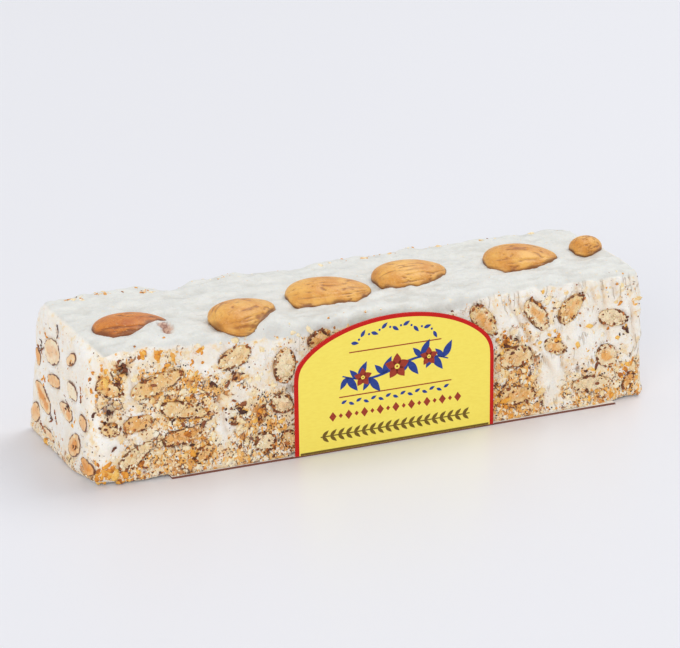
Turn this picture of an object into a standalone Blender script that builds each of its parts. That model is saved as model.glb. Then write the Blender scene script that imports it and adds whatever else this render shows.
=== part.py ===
"""A bar of white nougat with whole almonds pressed into its top and cut almonds at its sawn faces.

It lies on a folded card: a flat strip under the bar, and an arched label that stands up along the front.
Metres, +Z up. X runs along the bar, the label faces -Y, and the origin is under the middle of the whole thing.
Every size below is in millimetres and is multiplied by MM when a mesh is made.
"""

import math

import bmesh
import bpy
from mathutils import Matrix, Vector, noise

MM = 0.001

# Driving dimensions
BAR_HEIGHT = 36.2
BASE_LEFT, BASE_RIGHT = 82.8, 80.6
TOP_LEFT, TOP_RIGHT = 80.2, 81.2
BASE_FRONT, BASE_BACK = 23.8, 25.2
TOP_FRONT, TOP_BACK = 21.8, 22.8
CARD_THICKNESS = 0.4
GAP = 0.3
BAR_FLOOR = CARD_THICKNESS + GAP
BAR_TOP = BAR_FLOOR + BAR_HEIGHT
END_SAG = 0.5

# Edges of the bar
SIDE_RADIUS = 2.4
FLOOR_RADIUS = 1.0
SAWN_CORNER_RADIUS = 5.5
GRID_PITCH = 6.4

# Relief of each face, as the most it stands in or out
SAWN_RELIEF = 0.45
TOP_RELIEF = 0.5
END_RELIEF = 0.22
RELIEF_SIZE = 9.0
WEAR_DEPTH = 14.0

# Almonds
POCKET_GAP = 0.35
NUT_PROUD = 0.25
NUT_SIDES, NUT_RINGS = 8, 6
WHOLE_SIDES, WHOLE_RINGS = 12, 8

# The folded card
CARD_LEFT, CARD_RIGHT = -60.8, 70.6
CARD_FRONT, CARD_BACK = -25.1, 21.5
LABEL_LEFT, LABEL_RIGHT = -26.2, 32.3
LABEL_SHOULDER, LABEL_TOP = 24.0, 35.8
LABEL_LEAN = 0.9
CARD_YAW = -0.65
ARCH_OVERRUN = 1.05
ARCH_STEPS = 20

# Hollows in the crust: centre, half sizes
PITS = (
    ((-76.6, -23.4, 20.9), (2.6, 1.5, 1.5)),
    ((-71.6, -23.0, 31.0), (2.2, 1.6, 2.8)),
    ((-81.0, 6.4, 33.6), (1.2, 3.4, 1.3)),
    ((-42.4, -23.2, 12.6), (2.7, 1.0, 1.1)),
)

# Places where the bar is chipped or sags: centre, reach, depth
CHIPS = (
    ((-80.0, -21.5, 36.0), 9.0, 2.6),
    ((81.5, -21.0, 36.0), 6.0, 1.2),
    ((81.5, 22.0, 36.0), 4.0, 0.6),
    ((-43.0, 23.0, 36.5), 5.5, 2.8),
    ((-80.0, 22.0, 36.0), 3.5, 0.5),
    ((-35.5, -21.5, 36.9), 6.0, 1.6),
    ((-8.0, 23.0, 36.5), 8.0, 1.2),
)

# Whole almonds on top: x, y, height of the middle over the top, length, width, thickness, turn, roll, point
TOP_ALMONDS = (
    (-64.8, -8.4, -0.8, 20.8, 13.6, 8.0, -3.0, 12.0, 0.10),
    (-34.8, -13.0, 0.2, 22.0, 13.4, 8.6, 26.0, 12.0, 0.34),
    (-8.2, -7.4, 0.4, 24.0, 14.0, 8.6, -6.0, 14.0, 0.20),
    (18.8, -2.0, 0.3, 22.8, 13.4, 8.4, 6.0, 12.0, 0.16),
    (52.8, -2.4, 0.3, 21.4, 13.6, 8.4, -12.0, 14.0, 0.12),
    (74.8, -0.6, 0.6, 10.6, 7.6, 7.4, 14.0, 20.0, 0.18),
)

# Cut almonds at a face: place along it, height, length, width, turn, point
FRONT_ALMONDS = (
    (-76.2, 26.2, 8.0, 4.8, -25.0, 0.1),
    (-76.4, 15.4, 5.4, 4.0, -8.0, 0.0),
    (-63.1, 25.6, 15.6, 5.6, 16.0, 0.25),
    (-56.3, 17.4, 13.6, 5.1, -14.0, 0.2),
    (-69.0, 15.9, 8.2, 4.6, 8.0, 0.1),
    (-69.8, 7.4, 11.8, 4.6, 30.0, 0.2),
    (-57.0, 10.6, 11.4, 4.6, 4.0, 0.25),
    (-51.2, 4.9, 6.4, 3.8, 38.0, 0.1),
    (-41.5, 29.4, 10.2, 6.0, 20.0, 0.1),
    (-27.8, 25.2, 9.6, 6.8, 84.0, 0.1),
    (-34.6, 13.0, 5.4, 2.7, 73.0, 0.1),
    (-28.6, 14.9, 6.8, 6.0, -22.0, 0.0),
    (-33.8, 5.3, 6.2, 5.8, 0.0, 0.0),
    (-26.6, 5.3, 5.6, 4.4, -34.0, 0.0),
    (-17.8, 31.2, 7.0, 4.6, 24.0, 0.1),
    (31.0, 29.0, 11.2, 6.2, -51.0, 0.15),
    (47.3, 28.3, 10.8, 5.8, -57.0, 0.15),
    (58.0, 28.6, 10.4, 6.0, 45.0, 0.15),
    (71.4, 24.0, 9.8, 5.0, -9.0, 0.1),
    (52.9, 18.6, 7.6, 4.3, -23.0, 0.1),
    (69.4, 13.4, 7.6, 6.6, -35.0, 0.0),
    (41.0, 17.2, 11.0, 6.4, 6.0, 0.1),
    (64.6, 6.1, 12.8, 4.9, -4.0, 0.15),
    (76.2, 5.2, 6.0, 3.8, 58.0, 0.1),
    (41.1, 6.3, 12.2, 6.0, -4.0, 0.1),
)
LEFT_END_ALMONDS = (
    (8.9, 26.9, 12.6, 8.0, -12.0, 0.1),
    (-5.6, 29.4, 7.4, 3.8, -30.0, 0.1),
    (20.0, 22.0, 5.6, 4.2, 43.0, 0.1),
    (6.8, 19.5, 11.4, 4.2, -8.0, 0.2),
    (-7.4, 21.5, 8.4, 5.0, 8.0, 0.1),
    (14.8, 12.4, 13.8, 6.2, 20.0, 0.25),
    (-3.4, 14.6, 10.6, 5.0, 2.0, 0.2),
    (20.4, 6.2, 8.4, 6.2, -30.0, 0.1),
    (-16.2, 15.8, 6.4, 4.8, 6.0, 0.1),
    (-10.4, 7.6, 10.2, 6.4, -35.0, 0.1),
    (9.4, 3.9, 10.4, 3.2, 4.0, 0.2),
    (-19.8, 5.2, 8.4, 4.6, 12.0, 0.1),
)
RIGHT_END_ALMONDS = (
    (-10.2, 26.4, 11.0, 6.6, -20.0, 0.15),
    (9.4, 25.2, 12.4, 6.0, 15.0, 0.2),
    (-1.0, 15.0, 12.6, 6.0, -8.0, 0.2),
    (-14.0, 9.0, 8.6, 5.6, 38.0, 0.1),
    (13.6, 8.6, 10.6, 5.8, -25.0, 0.15),
)
BACK_ALMONDS = (
    (-70.0, 23.6, 10.8, 6.2, 24.0, 0.15),
    (-54.4, 10.6, 13.0, 6.0, -16.0, 0.2),
    (-37.6, 25.6, 11.2, 6.4, 38.0, 0.1),
    (-19.6, 12.4, 12.4, 6.6, 12.0, 0.2),
    (-1.4, 26.4, 10.4, 5.8, -34.0, 0.15),
    (15.4, 9.2, 13.0, 6.0, 8.0, 0.2),
    (33.0, 24.8, 11.8, 6.6, -24.0, 0.15),
    (51.6, 11.0, 11.4, 6.4, 32.0, 0.1),
    (68.6, 22.6, 12.2, 6.0, -12.0, 0.2),
)

# Principled colours: base colour, roughness
NOUGAT_WHITE = ((0.93, 0.90, 0.84), 0.62)
TOASTED_ALMOND = ((0.66, 0.36, 0.13), 0.5)
CUT_ALMOND = ((0.72, 0.52, 0.28), 0.6)
CARD_YELLOW = ((0.92, 0.80, 0.17), 0.4)


def clear_scene():
    for obj in list(bpy.data.objects):
        bpy.data.objects.remove(obj, do_unlink=True)


def make_material(name, finish):
    colour, roughness = finish
    material = bpy.data.materials.new(name)
    material.use_nodes = True
    shader = material.node_tree.nodes["Principled BSDF"]
    shader.inputs["Base Color"].default_value = (*colour, 1.0)
    shader.inputs["Roughness"].default_value = roughness
    shader.inputs["Metallic"].default_value = 0.0
    return material


def make_collection(name):
    collection = bpy.data.collections.new(name)
    bpy.context.scene.collection.children.link(collection)
    return collection


def object_from(bm, name, collection, material=None):
    """A new object from a bmesh in millimetres, with its faces pointing out."""
    bm.normal_update()
    bmesh.ops.recalc_face_normals(bm, faces=bm.faces[:])
    bmesh.ops.scale(bm, vec=(MM, MM, MM), verts=bm.verts[:])
    mesh = bpy.data.meshes.new(name)
    bm.to_mesh(mesh)
    bm.free()
    obj = bpy.data.objects.new(name, mesh)
    collection.objects.link(obj)
    if material:
        mesh.materials.append(material)
    return obj


def smoothstep(low, high, value):
    t = min(1.0, max(0.0, (value - low) / (high - low)))
    return t * t * (3.0 - 2.0 * t)


def end_x(height, left):
    """Where the left or right end stands at a height over the floor of the bar."""
    t = (height - BAR_FLOOR) / BAR_HEIGHT
    if left:
        return -(BASE_LEFT + (TOP_LEFT - BASE_LEFT) * t)
    return BASE_RIGHT + (TOP_RIGHT - BASE_RIGHT) * t


def side_y(height, front):
    """Where the sawn front or back face stands at a height over the floor of the bar."""
    t = (height - BAR_FLOOR) / BAR_HEIGHT
    if front:
        return -(BASE_FRONT + (TOP_FRONT - BASE_FRONT) * t)
    return BASE_BACK + (TOP_BACK - BASE_BACK) * t


def edge_radius(x, y, z):
    """The bar's edges are soft above and crisp where it lies on the card, and one sawn corner is worn away."""
    worn = smoothstep(TOP_LEFT - 14.0, TOP_LEFT, -x) * smoothstep(8.0, 20.0, -y)
    side = SIDE_RADIUS + (SAWN_CORNER_RADIUS - SIDE_RADIUS) * worn
    floor = FLOOR_RADIUS + 3.5 * worn
    return floor + (side - floor) * smoothstep(0.0, 9.0, z - BAR_FLOOR)


def relief_at(point, normal):
    """How far the surface stands out at a point, in millimetres: rough where it was sawn, gentle on top."""
    swell = noise.noise(point / RELIEF_SIZE)
    lump = noise.noise(point / (RELIEF_SIZE * 0.45) + Vector((7.3, 1.9, 4.1)))
    most = (
        END_RELIEF * abs(normal.x)
        + SAWN_RELIEF * abs(normal.y)
        + TOP_RELIEF * max(0.0, normal.z)
    )
    return most * (0.75 * swell + 0.55 * lump) * smoothstep(0.0, 3.0, point.z - BAR_FLOOR)


def chip_at(point):
    """How far the bar is worn in at a point."""
    return sum(
        depth * math.exp(-((point - Vector(centre)).length / reach) ** 2)
        for centre, reach, depth in CHIPS
    )


def clamp(value, low, high):
    return min(high, max(low, value))


def bar_point(sx, sy, sz):
    """Maps a point of the cube from -1 to 1 onto the bar: tapered, with rounded edges, relief and chips."""
    z = BAR_FLOOR + BAR_HEIGHT * (sz + 1.0) / 2.0
    left, right = end_x(z, True), end_x(z, False)
    front, back = side_y(z, True), side_y(z, False)
    x = left + (right - left) * (sx + 1.0) / 2.0
    y = front + (back - front) * (sy + 1.0) / 2.0

    def inside(margin):
        return Vector(
            (
                clamp(x, left + margin, right - margin),
                clamp(y, front + margin, back - margin),
                clamp(z, BAR_FLOOR + margin, BAR_TOP - margin),
            )
        )

    r = edge_radius(x, y, z)
    inner = inside(r)
    out = Vector((x, y, z)) - inner
    if out.length < 1e-6:
        return Vector((x, y, z))
    point = inner + out.normalized() * min(r, out.length)
    outward = (point - inside(WEAR_DEPTH)).normalized()
    point += outward * (relief_at(point, outward) - chip_at(point))
    overhang = smoothstep(2.0, 9.0, max(CARD_LEFT - x, x - CARD_RIGHT))
    point.z -= END_SAG * overhang * (1.0 - smoothstep(0.0, 12.0, z - BAR_FLOOR))
    return point


def grid_lines(length):
    """Cuts across a side from -1 to 1: one close to each edge, for its rounding, and even ones between."""
    rim = 1.0 - 2.0 * SIDE_RADIUS / length
    count = max(2, round(length / GRID_PITCH))
    return [-rim + 2.0 * rim * i / count for i in range(count + 1)]


def make_bar(collection, material):
    """The nougat before its almonds: a cube cut into a grid, then mapped onto the bar."""
    bm = bmesh.new()
    bmesh.ops.create_cube(bm, size=2.0)
    spans = (BASE_LEFT + BASE_RIGHT, BASE_FRONT + BASE_BACK, BAR_HEIGHT)
    for axis, span in enumerate(spans):
        normal = [0.0, 0.0, 0.0]
        normal[axis] = 1.0
        for line in grid_lines(span):
            middle = [value * line for value in normal]
            everything = bm.verts[:] + bm.edges[:] + bm.faces[:]
            bmesh.ops.bisect_plane(bm, geom=everything, plane_co=middle, plane_no=normal)
    for vert in bm.verts:
        vert.co = bar_point(*vert.co)
    bmesh.ops.triangulate(bm, faces=bm.faces[:])
    return object_from(bm, "nougat", collection, material)


def almond_mesh(length, width, thickness, point, sides, rings):
    """An almond about the origin: long axis on X, round at -X and drawn out to a point at +X."""
    bm = bmesh.new()
    bmesh.ops.create_uvsphere(bm, u_segments=sides, v_segments=rings, radius=1.0)
    half_step = math.pi / sides
    bmesh.ops.rotate(bm, cent=(0, 0, 0), matrix=Matrix.Rotation(half_step, 3, "Z"), verts=bm.verts[:])
    bmesh.ops.rotate(bm, cent=(0, 0, 0), matrix=Matrix.Rotation(math.pi / 2, 3, "Y"), verts=bm.verts[:])
    for vert in bm.verts:
        t = vert.co.x
        slim = 1.0 - point * (0.55 * t + 0.45 * t * t * t)
        vert.co = Vector((t * length / 2, vert.co.y * slim * width / 2, vert.co.z * slim * thickness / 2))
    return bm


def clip_planes():
    """The bar's plain faces and its worn corner, each as a point and an outward normal."""
    corner = Vector((-BASE_LEFT, -BASE_FRONT, BAR_FLOOR))
    corner_normal = Vector((-1, -1, -0.06)).normalized()
    worn = SAWN_CORNER_RADIUS * (math.sqrt(2.0) - 1.0)
    lean = {
        "front": (BASE_FRONT - TOP_FRONT) / BAR_HEIGHT,
        "back": (BASE_BACK - TOP_BACK) / BAR_HEIGHT,
        "left": (BASE_LEFT - TOP_LEFT) / BAR_HEIGHT,
        "right": (BASE_RIGHT - TOP_RIGHT) / BAR_HEIGHT,
    }
    return {
        "front": (Vector((0, -BASE_FRONT, BAR_FLOOR)), Vector((0, -1, lean["front"])).normalized()),
        "back": (Vector((0, BASE_BACK, BAR_FLOOR)), Vector((0, 1, lean["back"])).normalized()),
        "left": (Vector((-BASE_LEFT, 0, BAR_FLOOR)), Vector((-1, 0, lean["left"])).normalized()),
        "right": (Vector((BASE_RIGHT, 0, BAR_FLOOR)), Vector((1, 0, lean["right"])).normalized()),
        "corner": (corner - corner_normal * worn, corner_normal),
    }


def face_matrix(face, along, height, turn):
    """Where a cut almond sits: its middle on the face, its flat side along it and its depth inwards."""
    normal = clip_planes()[face][1]
    if face in ("front", "back"):
        place = Vector((along, side_y(height, face == "front"), height))
        across = Vector((1, 0, 0))
    else:
        place = Vector((end_x(height, face == "left"), along, height))
        across = Vector((0, 1, 0))
    upward = normal.cross(across)
    if upward.z < 0:
        upward = -upward
    angle = math.radians(turn)
    long_axis = across * math.cos(angle) + upward * math.sin(angle)
    wide_axis = normal.cross(long_axis)
    turned = Matrix((long_axis, wide_axis, normal)).transposed()
    return Matrix.Translation(place) @ turned.to_4x4()


def cut_depth(length, width):
    """Full thickness of the almond that a section of this size comes from."""
    return min(8.0, 0.9 * width + 0.12 * length)


def make_cut_almond(name, matrix, size, collection, material):
    """An almond sawn through with the bar: the half inside the face, clipped by each face that it meets."""
    length, width, point = size
    bm = almond_mesh(length, width, cut_depth(length, width), point, NUT_SIDES, NUT_RINGS)
    bm.transform(matrix)
    for centre, normal in clip_planes().values():
        everything = bm.verts[:] + bm.edges[:] + bm.faces[:]
        bmesh.ops.bisect_plane(
            bm,
            geom=everything,
            dist=1e-4,
            plane_co=centre + normal * NUT_PROUD,
            plane_no=normal,
            clear_outer=True,
        )
        rim = [edge for edge in bm.edges if edge.is_boundary]
        if rim:
            bmesh.ops.holes_fill(bm, edges=rim, sides=0)
    floor = BAR_FLOOR + 0.05
    for vert in bm.verts:
        vert.co.z = max(floor, vert.co.z)
    bmesh.ops.triangulate(bm, faces=bm.faces[:])
    return object_from(bm, name, collection, material)


def make_pocket(name, matrix, size, thickness, rings, cutters):
    """A whole almond grown by the gap, which hollows its seat out of the nougat."""
    length, width, point = size
    grown = 2.0 * POCKET_GAP
    bm = almond_mesh(length + grown, width + grown, thickness + grown, point, *rings)
    bm.transform(matrix)
    return helper_from(bm, name, cutters)


def helper_from(bm, name, collection):
    obj = object_from(bm, name, collection)
    obj.hide_render = True
    obj.display_type = "WIRE"
    return obj


def top_matrix(x, y, lift, turn, roll):
    lie = Matrix.Rotation(math.radians(turn), 4, "Z") @ Matrix.Rotation(math.radians(roll), 4, "X")
    return Matrix.Translation((x, y, BAR_TOP + lift)) @ lie


def ellipsoid(centre, half_sizes, name, collection):
    bm = bmesh.new()
    bmesh.ops.create_uvsphere(bm, u_segments=10, v_segments=6, radius=1.0)
    bmesh.ops.scale(bm, vec=half_sizes, verts=bm.verts[:])
    bmesh.ops.translate(bm, vec=centre, verts=bm.verts[:])
    return helper_from(bm, name, collection)


def apply_boolean(obj, operation, collection):
    """Joins or cuts everything in a collection with obj, then applies it and removes what it used."""
    modifier = obj.modifiers.new(operation.lower(), "BOOLEAN")
    modifier.operation = operation
    modifier.operand_type = "COLLECTION"
    modifier.collection = collection
    modifier.solver = "EXACT"
    graph = bpy.context.evaluated_depsgraph_get()
    mesh = bpy.data.meshes.new_from_object(obj.evaluated_get(graph))
    obj.modifiers.clear()
    obj.data = mesh
    for used in list(collection.objects):
        bpy.data.objects.remove(used, do_unlink=True)


def keep_largest_piece(obj):
    """Drops crumbs that the cuts left loose."""
    bm = bmesh.new()
    bm.from_mesh(obj.data)
    bmesh.ops.remove_doubles(bm, verts=bm.verts[:], dist=2e-6)
    bmesh.ops.dissolve_degenerate(bm, edges=bm.edges[:], dist=2e-6)
    seen, pieces = set(), []
    for start in bm.verts:
        if start in seen:
            continue
        piece, queue = [], [start]
        seen.add(start)
        while queue:
            vert = queue.pop()
            piece.append(vert)
            for edge in vert.link_edges:
                other = edge.other_vert(vert)
                if other not in seen:
                    seen.add(other)
                    queue.append(other)
        pieces.append(piece)
    largest = max(pieces, key=len)
    loose = [vert for piece in pieces if piece is not largest for vert in piece]
    bmesh.ops.delete(bm, geom=loose, context="VERTS")
    bmesh.ops.triangulate(bm, faces=bm.faces[:])
    bm.to_mesh(obj.data)
    bm.free()


def arch_points():
    """The label's outline above its shoulders, from right to left: part of an ellipse a little wider than it."""
    middle = (LABEL_LEFT + LABEL_RIGHT) / 2
    half = (LABEL_RIGHT - LABEL_LEFT) / 2
    shoulder_share = math.sqrt(1.0 - 1.0 / ARCH_OVERRUN**2)
    rise = (LABEL_TOP - LABEL_SHOULDER) / (1.0 - shoulder_share)
    points = []
    for i in range(ARCH_STEPS + 1):
        t = math.cos(math.pi * i / ARCH_STEPS)
        drop = rise * (1.0 - math.sqrt(1.0 - (t / ARCH_OVERRUN) ** 2))
        points.append((middle + half * t, LABEL_TOP - drop))
    return points


def make_card(collection, material):
    """One sheet folded once: the strip under the bar, and the label standing up from its front edge."""
    bm = bmesh.new()

    def ring(points):
        return [bm.verts.new(point) for point in points]

    inner = CARD_FRONT + CARD_THICKNESS
    outline = (
        (CARD_LEFT, CARD_FRONT),
        (LABEL_LEFT, CARD_FRONT),
        (LABEL_RIGHT, CARD_FRONT),
        (CARD_RIGHT, CARD_FRONT),
        (CARD_RIGHT, CARD_BACK),
        (CARD_LEFT, CARD_BACK),
    )
    under = ring((x, y, 0.0) for x, y in outline)
    over = ring((x, y, CARD_THICKNESS) for x, y in outline)
    fold = ring((x, inner, CARD_THICKNESS) for x in (LABEL_LEFT, LABEL_RIGHT))
    lean = LABEL_LEAN / LABEL_TOP
    shown = ring((x, CARD_FRONT + lean * z, z) for x, z in arch_points())
    hidden = ring((x, inner + lean * z, z) for x, z in arch_points())

    bm.faces.new(under[::-1])
    bm.faces.new((over[0], over[1], fold[0], fold[1], over[2], over[3], over[4], over[5]))
    for first, second in ((0, 1), (2, 3), (3, 4), (4, 5), (5, 0)):
        bm.faces.new((under[first], under[second], over[second], over[first]))
    bm.faces.new([under[1], under[2], over[2]] + shown + [over[1]])
    bm.faces.new([fold[1], fold[0]] + hidden[::-1])
    bm.faces.new((over[2], fold[1], hidden[0], shown[0]))
    bm.faces.new((fold[0], over[1], shown[-1], hidden[-1]))
    for i in range(ARCH_STEPS):
        bm.faces.new((shown[i], hidden[i], hidden[i + 1], shown[i + 1]))
    pivot = (CARD_LEFT, CARD_FRONT, 0.0)
    turn = Matrix.Rotation(math.radians(CARD_YAW), 3, "Z")
    bmesh.ops.rotate(bm, cent=pivot, matrix=turn, verts=bm.verts[:])
    return object_from(bm, "card", collection, material)


def centre_on_origin(collection):
    """Slides everything so that the origin is under the middle of the box round it."""
    bpy.context.view_layer.update()
    graph = bpy.context.evaluated_depsgraph_get()
    corners = []
    for obj in collection.objects:
        shown = obj.evaluated_get(graph)
        corners += [shown.matrix_world @ Vector(corner) for corner in shown.bound_box]
    low = Vector([min(corner[axis] for corner in corners) for axis in range(3)])
    high = Vector([max(corner[axis] for corner in corners) for axis in range(3)])
    shift = Vector((-(low.x + high.x) / 2, -(low.y + high.y) / 2, -low.z))
    for obj in collection.objects:
        obj.location += shift


def main():
    clear_scene()
    parts = make_collection("almond_nougat_bar")
    seats = make_collection("seats")
    nougat_white = make_material("nougat", NOUGAT_WHITE)
    toasted = make_material("toasted_almond", TOASTED_ALMOND)
    cut = make_material("cut_almond", CUT_ALMOND)
    yellow = make_material("card", CARD_YELLOW)

    bar = make_bar(parts, nougat_white)
    whole_rings = (WHOLE_SIDES, WHOLE_RINGS)
    for number, row in enumerate(TOP_ALMONDS, start=1):
        x, y, lift, length, width, thickness, turn, roll, point = row
        matrix = top_matrix(x, y, lift, turn, roll)
        bm = almond_mesh(length, width, thickness, point, *whole_rings)
        bm.transform(matrix)
        object_from(bm, f"almond_top_{number}", parts, toasted)
        make_pocket(f"seat_top_{number}", matrix, (length, width, point), thickness, whole_rings, seats)

    faces = {
        "front": FRONT_ALMONDS,
        "left": LEFT_END_ALMONDS,
        "right": RIGHT_END_ALMONDS,
        "back": BACK_ALMONDS,
    }
    for face, rows in faces.items():
        for number, (along, height, length, width, turn, point) in enumerate(rows, start=1):
            matrix = face_matrix(face, along, height, turn)
            size = (length, width, point)
            make_cut_almond(f"almond_{face}_{number:02d}", matrix, size, parts, cut)
            thickness = cut_depth(length, width)
            name = f"seat_{face}_{number:02d}"
            make_pocket(name, matrix, size, thickness, (NUT_SIDES, NUT_RINGS), seats)
    for number, (centre, half_sizes) in enumerate(PITS, start=1):
        ellipsoid(centre, half_sizes, f"pit_{number}", seats)

    apply_boolean(bar, "DIFFERENCE", seats)
    keep_largest_piece(bar)
    make_card(parts, yellow)
    centre_on_origin(parts)
    bpy.data.collections.remove(seats)


main()
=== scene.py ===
import math

import bmesh
import bpy
import numpy as np
from mathutils import Matrix, Vector, noise
from mathutils.bvhtree import BVHTree
from mathutils.kdtree import KDTree


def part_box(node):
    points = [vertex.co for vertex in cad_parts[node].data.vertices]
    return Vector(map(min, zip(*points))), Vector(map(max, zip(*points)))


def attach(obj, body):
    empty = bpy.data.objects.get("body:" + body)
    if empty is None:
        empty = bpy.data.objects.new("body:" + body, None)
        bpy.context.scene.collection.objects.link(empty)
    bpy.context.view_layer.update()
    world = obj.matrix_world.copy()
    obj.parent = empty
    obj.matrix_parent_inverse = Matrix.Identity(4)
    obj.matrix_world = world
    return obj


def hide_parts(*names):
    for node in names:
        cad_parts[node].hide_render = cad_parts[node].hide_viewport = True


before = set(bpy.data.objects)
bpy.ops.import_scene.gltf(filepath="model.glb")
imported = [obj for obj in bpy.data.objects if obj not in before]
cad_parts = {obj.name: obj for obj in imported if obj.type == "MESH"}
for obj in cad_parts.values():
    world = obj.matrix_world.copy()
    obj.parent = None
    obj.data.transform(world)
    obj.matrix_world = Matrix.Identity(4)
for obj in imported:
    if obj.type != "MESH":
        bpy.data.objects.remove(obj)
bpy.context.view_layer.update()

# Lengths below are in millimetres, and are turned to metres where a mesh is made
MM = 0.001
SEED = 4

# The bar, with the sizes that the CAD has
BAR_FLOOR, BAR_HEIGHT = 0.7, 36.2
BAR_TOP = BAR_FLOOR + BAR_HEIGHT
BASE_LEFT, BASE_RIGHT = 82.8, 80.6
TOP_LEFT, TOP_RIGHT = 80.2, 81.2
BASE_FRONT, BASE_BACK = 23.8, 25.2
TOP_FRONT, TOP_BACK = 21.8, 22.8
SIDE_RADIUS, FLOOR_RADIUS, SAWN_CORNER_RADIUS = 2.4, 1.0, 5.5
SAWN_RELIEF, TOP_RELIEF, END_RELIEF = 0.45, 0.5, 0.22
RELIEF_SIZE, WEAR_DEPTH = 9.0, 14.0
END_SAG = 0.5
NUT_PROUD = 0.25
CHIPS = (
    ((-80, -21.5, 36), 9, 2.6), ((81.5, -21, 36), 6, 1.2), ((81.5, 22, 36), 4, 0.6),
    ((-43, 23, 36.5), 5.5, 2.8), ((-80, 22, 36), 3.5, 0.5), ((-35.5, -21.5, 36.9), 6, 1.6),
    ((-8, 23, 36.5), 8, 1.2),
)

# The card, with the sizes that the CAD has
CARD_LEFT, CARD_RIGHT = -60.8, 70.6
CARD_FRONT, CARD_BACK = -25.1, 21.5
CARD_THICKNESS = 0.4
CARD_YAW = math.radians(-0.65)
LABEL_LEFT, LABEL_RIGHT = -26.2, 32.3
LABEL_SHOULDER, LABEL_TOP = 24.0, 35.8
LABEL_LEAN = 0.9
EDGE_LEAN = 0.5
ARCH_OVERRUN = 1.05

# Fineness of the meshes that show
NOUGAT_PITCH = 0.6
NUT_VOXEL = 0.33

# Sawn face: middle along it and up, half sizes, and how much more or less crumbly it is there
CRUMBLY = (
    (-76, 27, 4.5, 4.5, 0.6), (-61, 25, 9, 6, 0.6), (-50, 22, 5, 4, 0.45), (-56, 16, 11, 7, 0.6),
    (-58, 7, 18, 6, 0.6), (-76, 20, 4, 5, 0.4), (-72.5, 31, 2.6, 2.6, 0.5), (-33, 14, 7, 8, 0.55),
    (-34, 5, 9, 5, 0.5), (-42.7, 24, 4, 2.4, 0.4), (-41.5, 14, 4, 3, 0.35), (41, 15, 7.5, 6.5, 0.6),
    (40.5, 6.5, 8, 5, 0.6), (38.3, 21.5, 3.5, 2.5, 0.4), (64, 6, 9, 5, 0.45), (77, 6, 4, 6, 0.4),
    (-58, 33.5, 14, 2.4, 0.25), (-14, 32, 14, 3, 0.3), (51.5, 29, 8, 4, 0.15), (4, 6, 30, 6, 0.3),
    (-70.5, 26, 1.8, 4, -0.5), (-45.5, 11, 2.6, 6, -0.6), (-77, 11, 2, 3, -0.4), (-50, 30, 4, 3, -0.3),
    (51.5, 11, 3, 9, -0.6), (61, 20, 5, 5, -0.3),
)

# Sawn face: orange smears, as middle along it and up, half sizes and strength
STAINS = (
    (-67, 34, 1, 1.8, 0.8), (-63, 33, 0.8, 2.4, 0.9), (-59, 33.2, 0.9, 2, 0.7),
    (-50.6, 33, 0.7, 1.6, 0.6), (-62.5, 28.4, 2.6, 1.4, 0.8), (-55.7, 26.6, 3.6, 1.6, 0.7),
    (-77.5, 27.5, 3.4, 2.6, 0.6), (-79, 4, 4, 3, 0.5), (-72, 3, 4, 2, 0.4), (-52, 4.5, 6, 2.6, 0.6),
    (38.3, 21, 3, 2, 0.8), (40.5, 5.5, 6, 3, 0.6), (71, 3, 8, 2, 0.5),
)

# Sawn face: clusters of skin flakes, as middle along it and up, spread and number
FLAKE_CLUSTERS = (
    (-72.1, 31.5, 1.6, 12), (-73.5, 27.5, 1.4, 6), (-42.7, 23.8, 2.4, 9), (-47.5, 23.4, 1.6, 5),
    (-41.4, 15, 2.2, 9), (-42.6, 11.9, 1, 3), (38.3, 21.5, 2.2, 14), (-77, 19, 1.8, 8),
    (-34.7, 12.8, 1.2, 4), (64, 8, 3, 6), (74.4, 20, 1.2, 4),
)

# Sawn face: long scrapes, as the two ends along it and up, half width and depth
SCRAPES = (
    (37.6, 34.6, 48, 17.6, 0.6, 0.6), (41, 34.4, 44.6, 27, 0.5, 0.45),
    (48, 17.6, 52.6, 11.5, 0.55, 0.5), (64.4, 34, 66, 28.6, 0.55, 0.55),
    (67.6, 34.6, 69.4, 27.6, 0.6, 0.6), (70.8, 34.6, 72.6, 29.6, 0.55, 0.5),
    (59.8, 33.6, 61.4, 29, 0.5, 0.45), (77.4, 28, 78.2, 15, 0.6, 0.55), (55.4, 12, 54.6, 20, 0.5, 0.4),
    (-46.8, 20, -44.4, 9, 0.5, 0.4), (-70.8, 30, -69, 21, 0.5, 0.4),
)

# Sawn face: clusters of golden bits, as middle along it and up, spread and number
GOLDEN_CLUSTERS = (
    (-79.5, 3.6, 2.6, 30), (-73, 2.6, 3, 16), (-62.5, 28.6, 2.6, 14), (-54.5, 26.8, 2.6, 10),
    (-77.6, 27.4, 2.2, 14), (-67, 34, 0.8, 6), (-62.4, 33.2, 0.8, 7), (-50.5, 33, 0.8, 6),
    (-57, 13, 6, 16), (-33, 14, 4, 12), (38.3, 21.5, 2.4, 18), (41, 5.5, 5, 18), (52.5, 21.6, 2.4, 10),
    (68, 4, 7, 16), (75.6, 8, 2, 12), (62, 30, 12, 18),
)

# Sawn face: larger golden pieces, as middle along it and up, spread and number
GOLDEN_LUMPS = (
    (-77.8, 4.4, 1.4, 4), (-74.6, 3.4, 1.6, 4), (-70, 3.2, 1.4, 2), (-77.4, 27, 1.4, 3),
    (-55.6, 10.6, 1.6, 2), (-36.6, 13, 1.6, 2), (53.2, 20.8, 1.2, 3), (37, 5.2, 1.6, 2),
)

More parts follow.
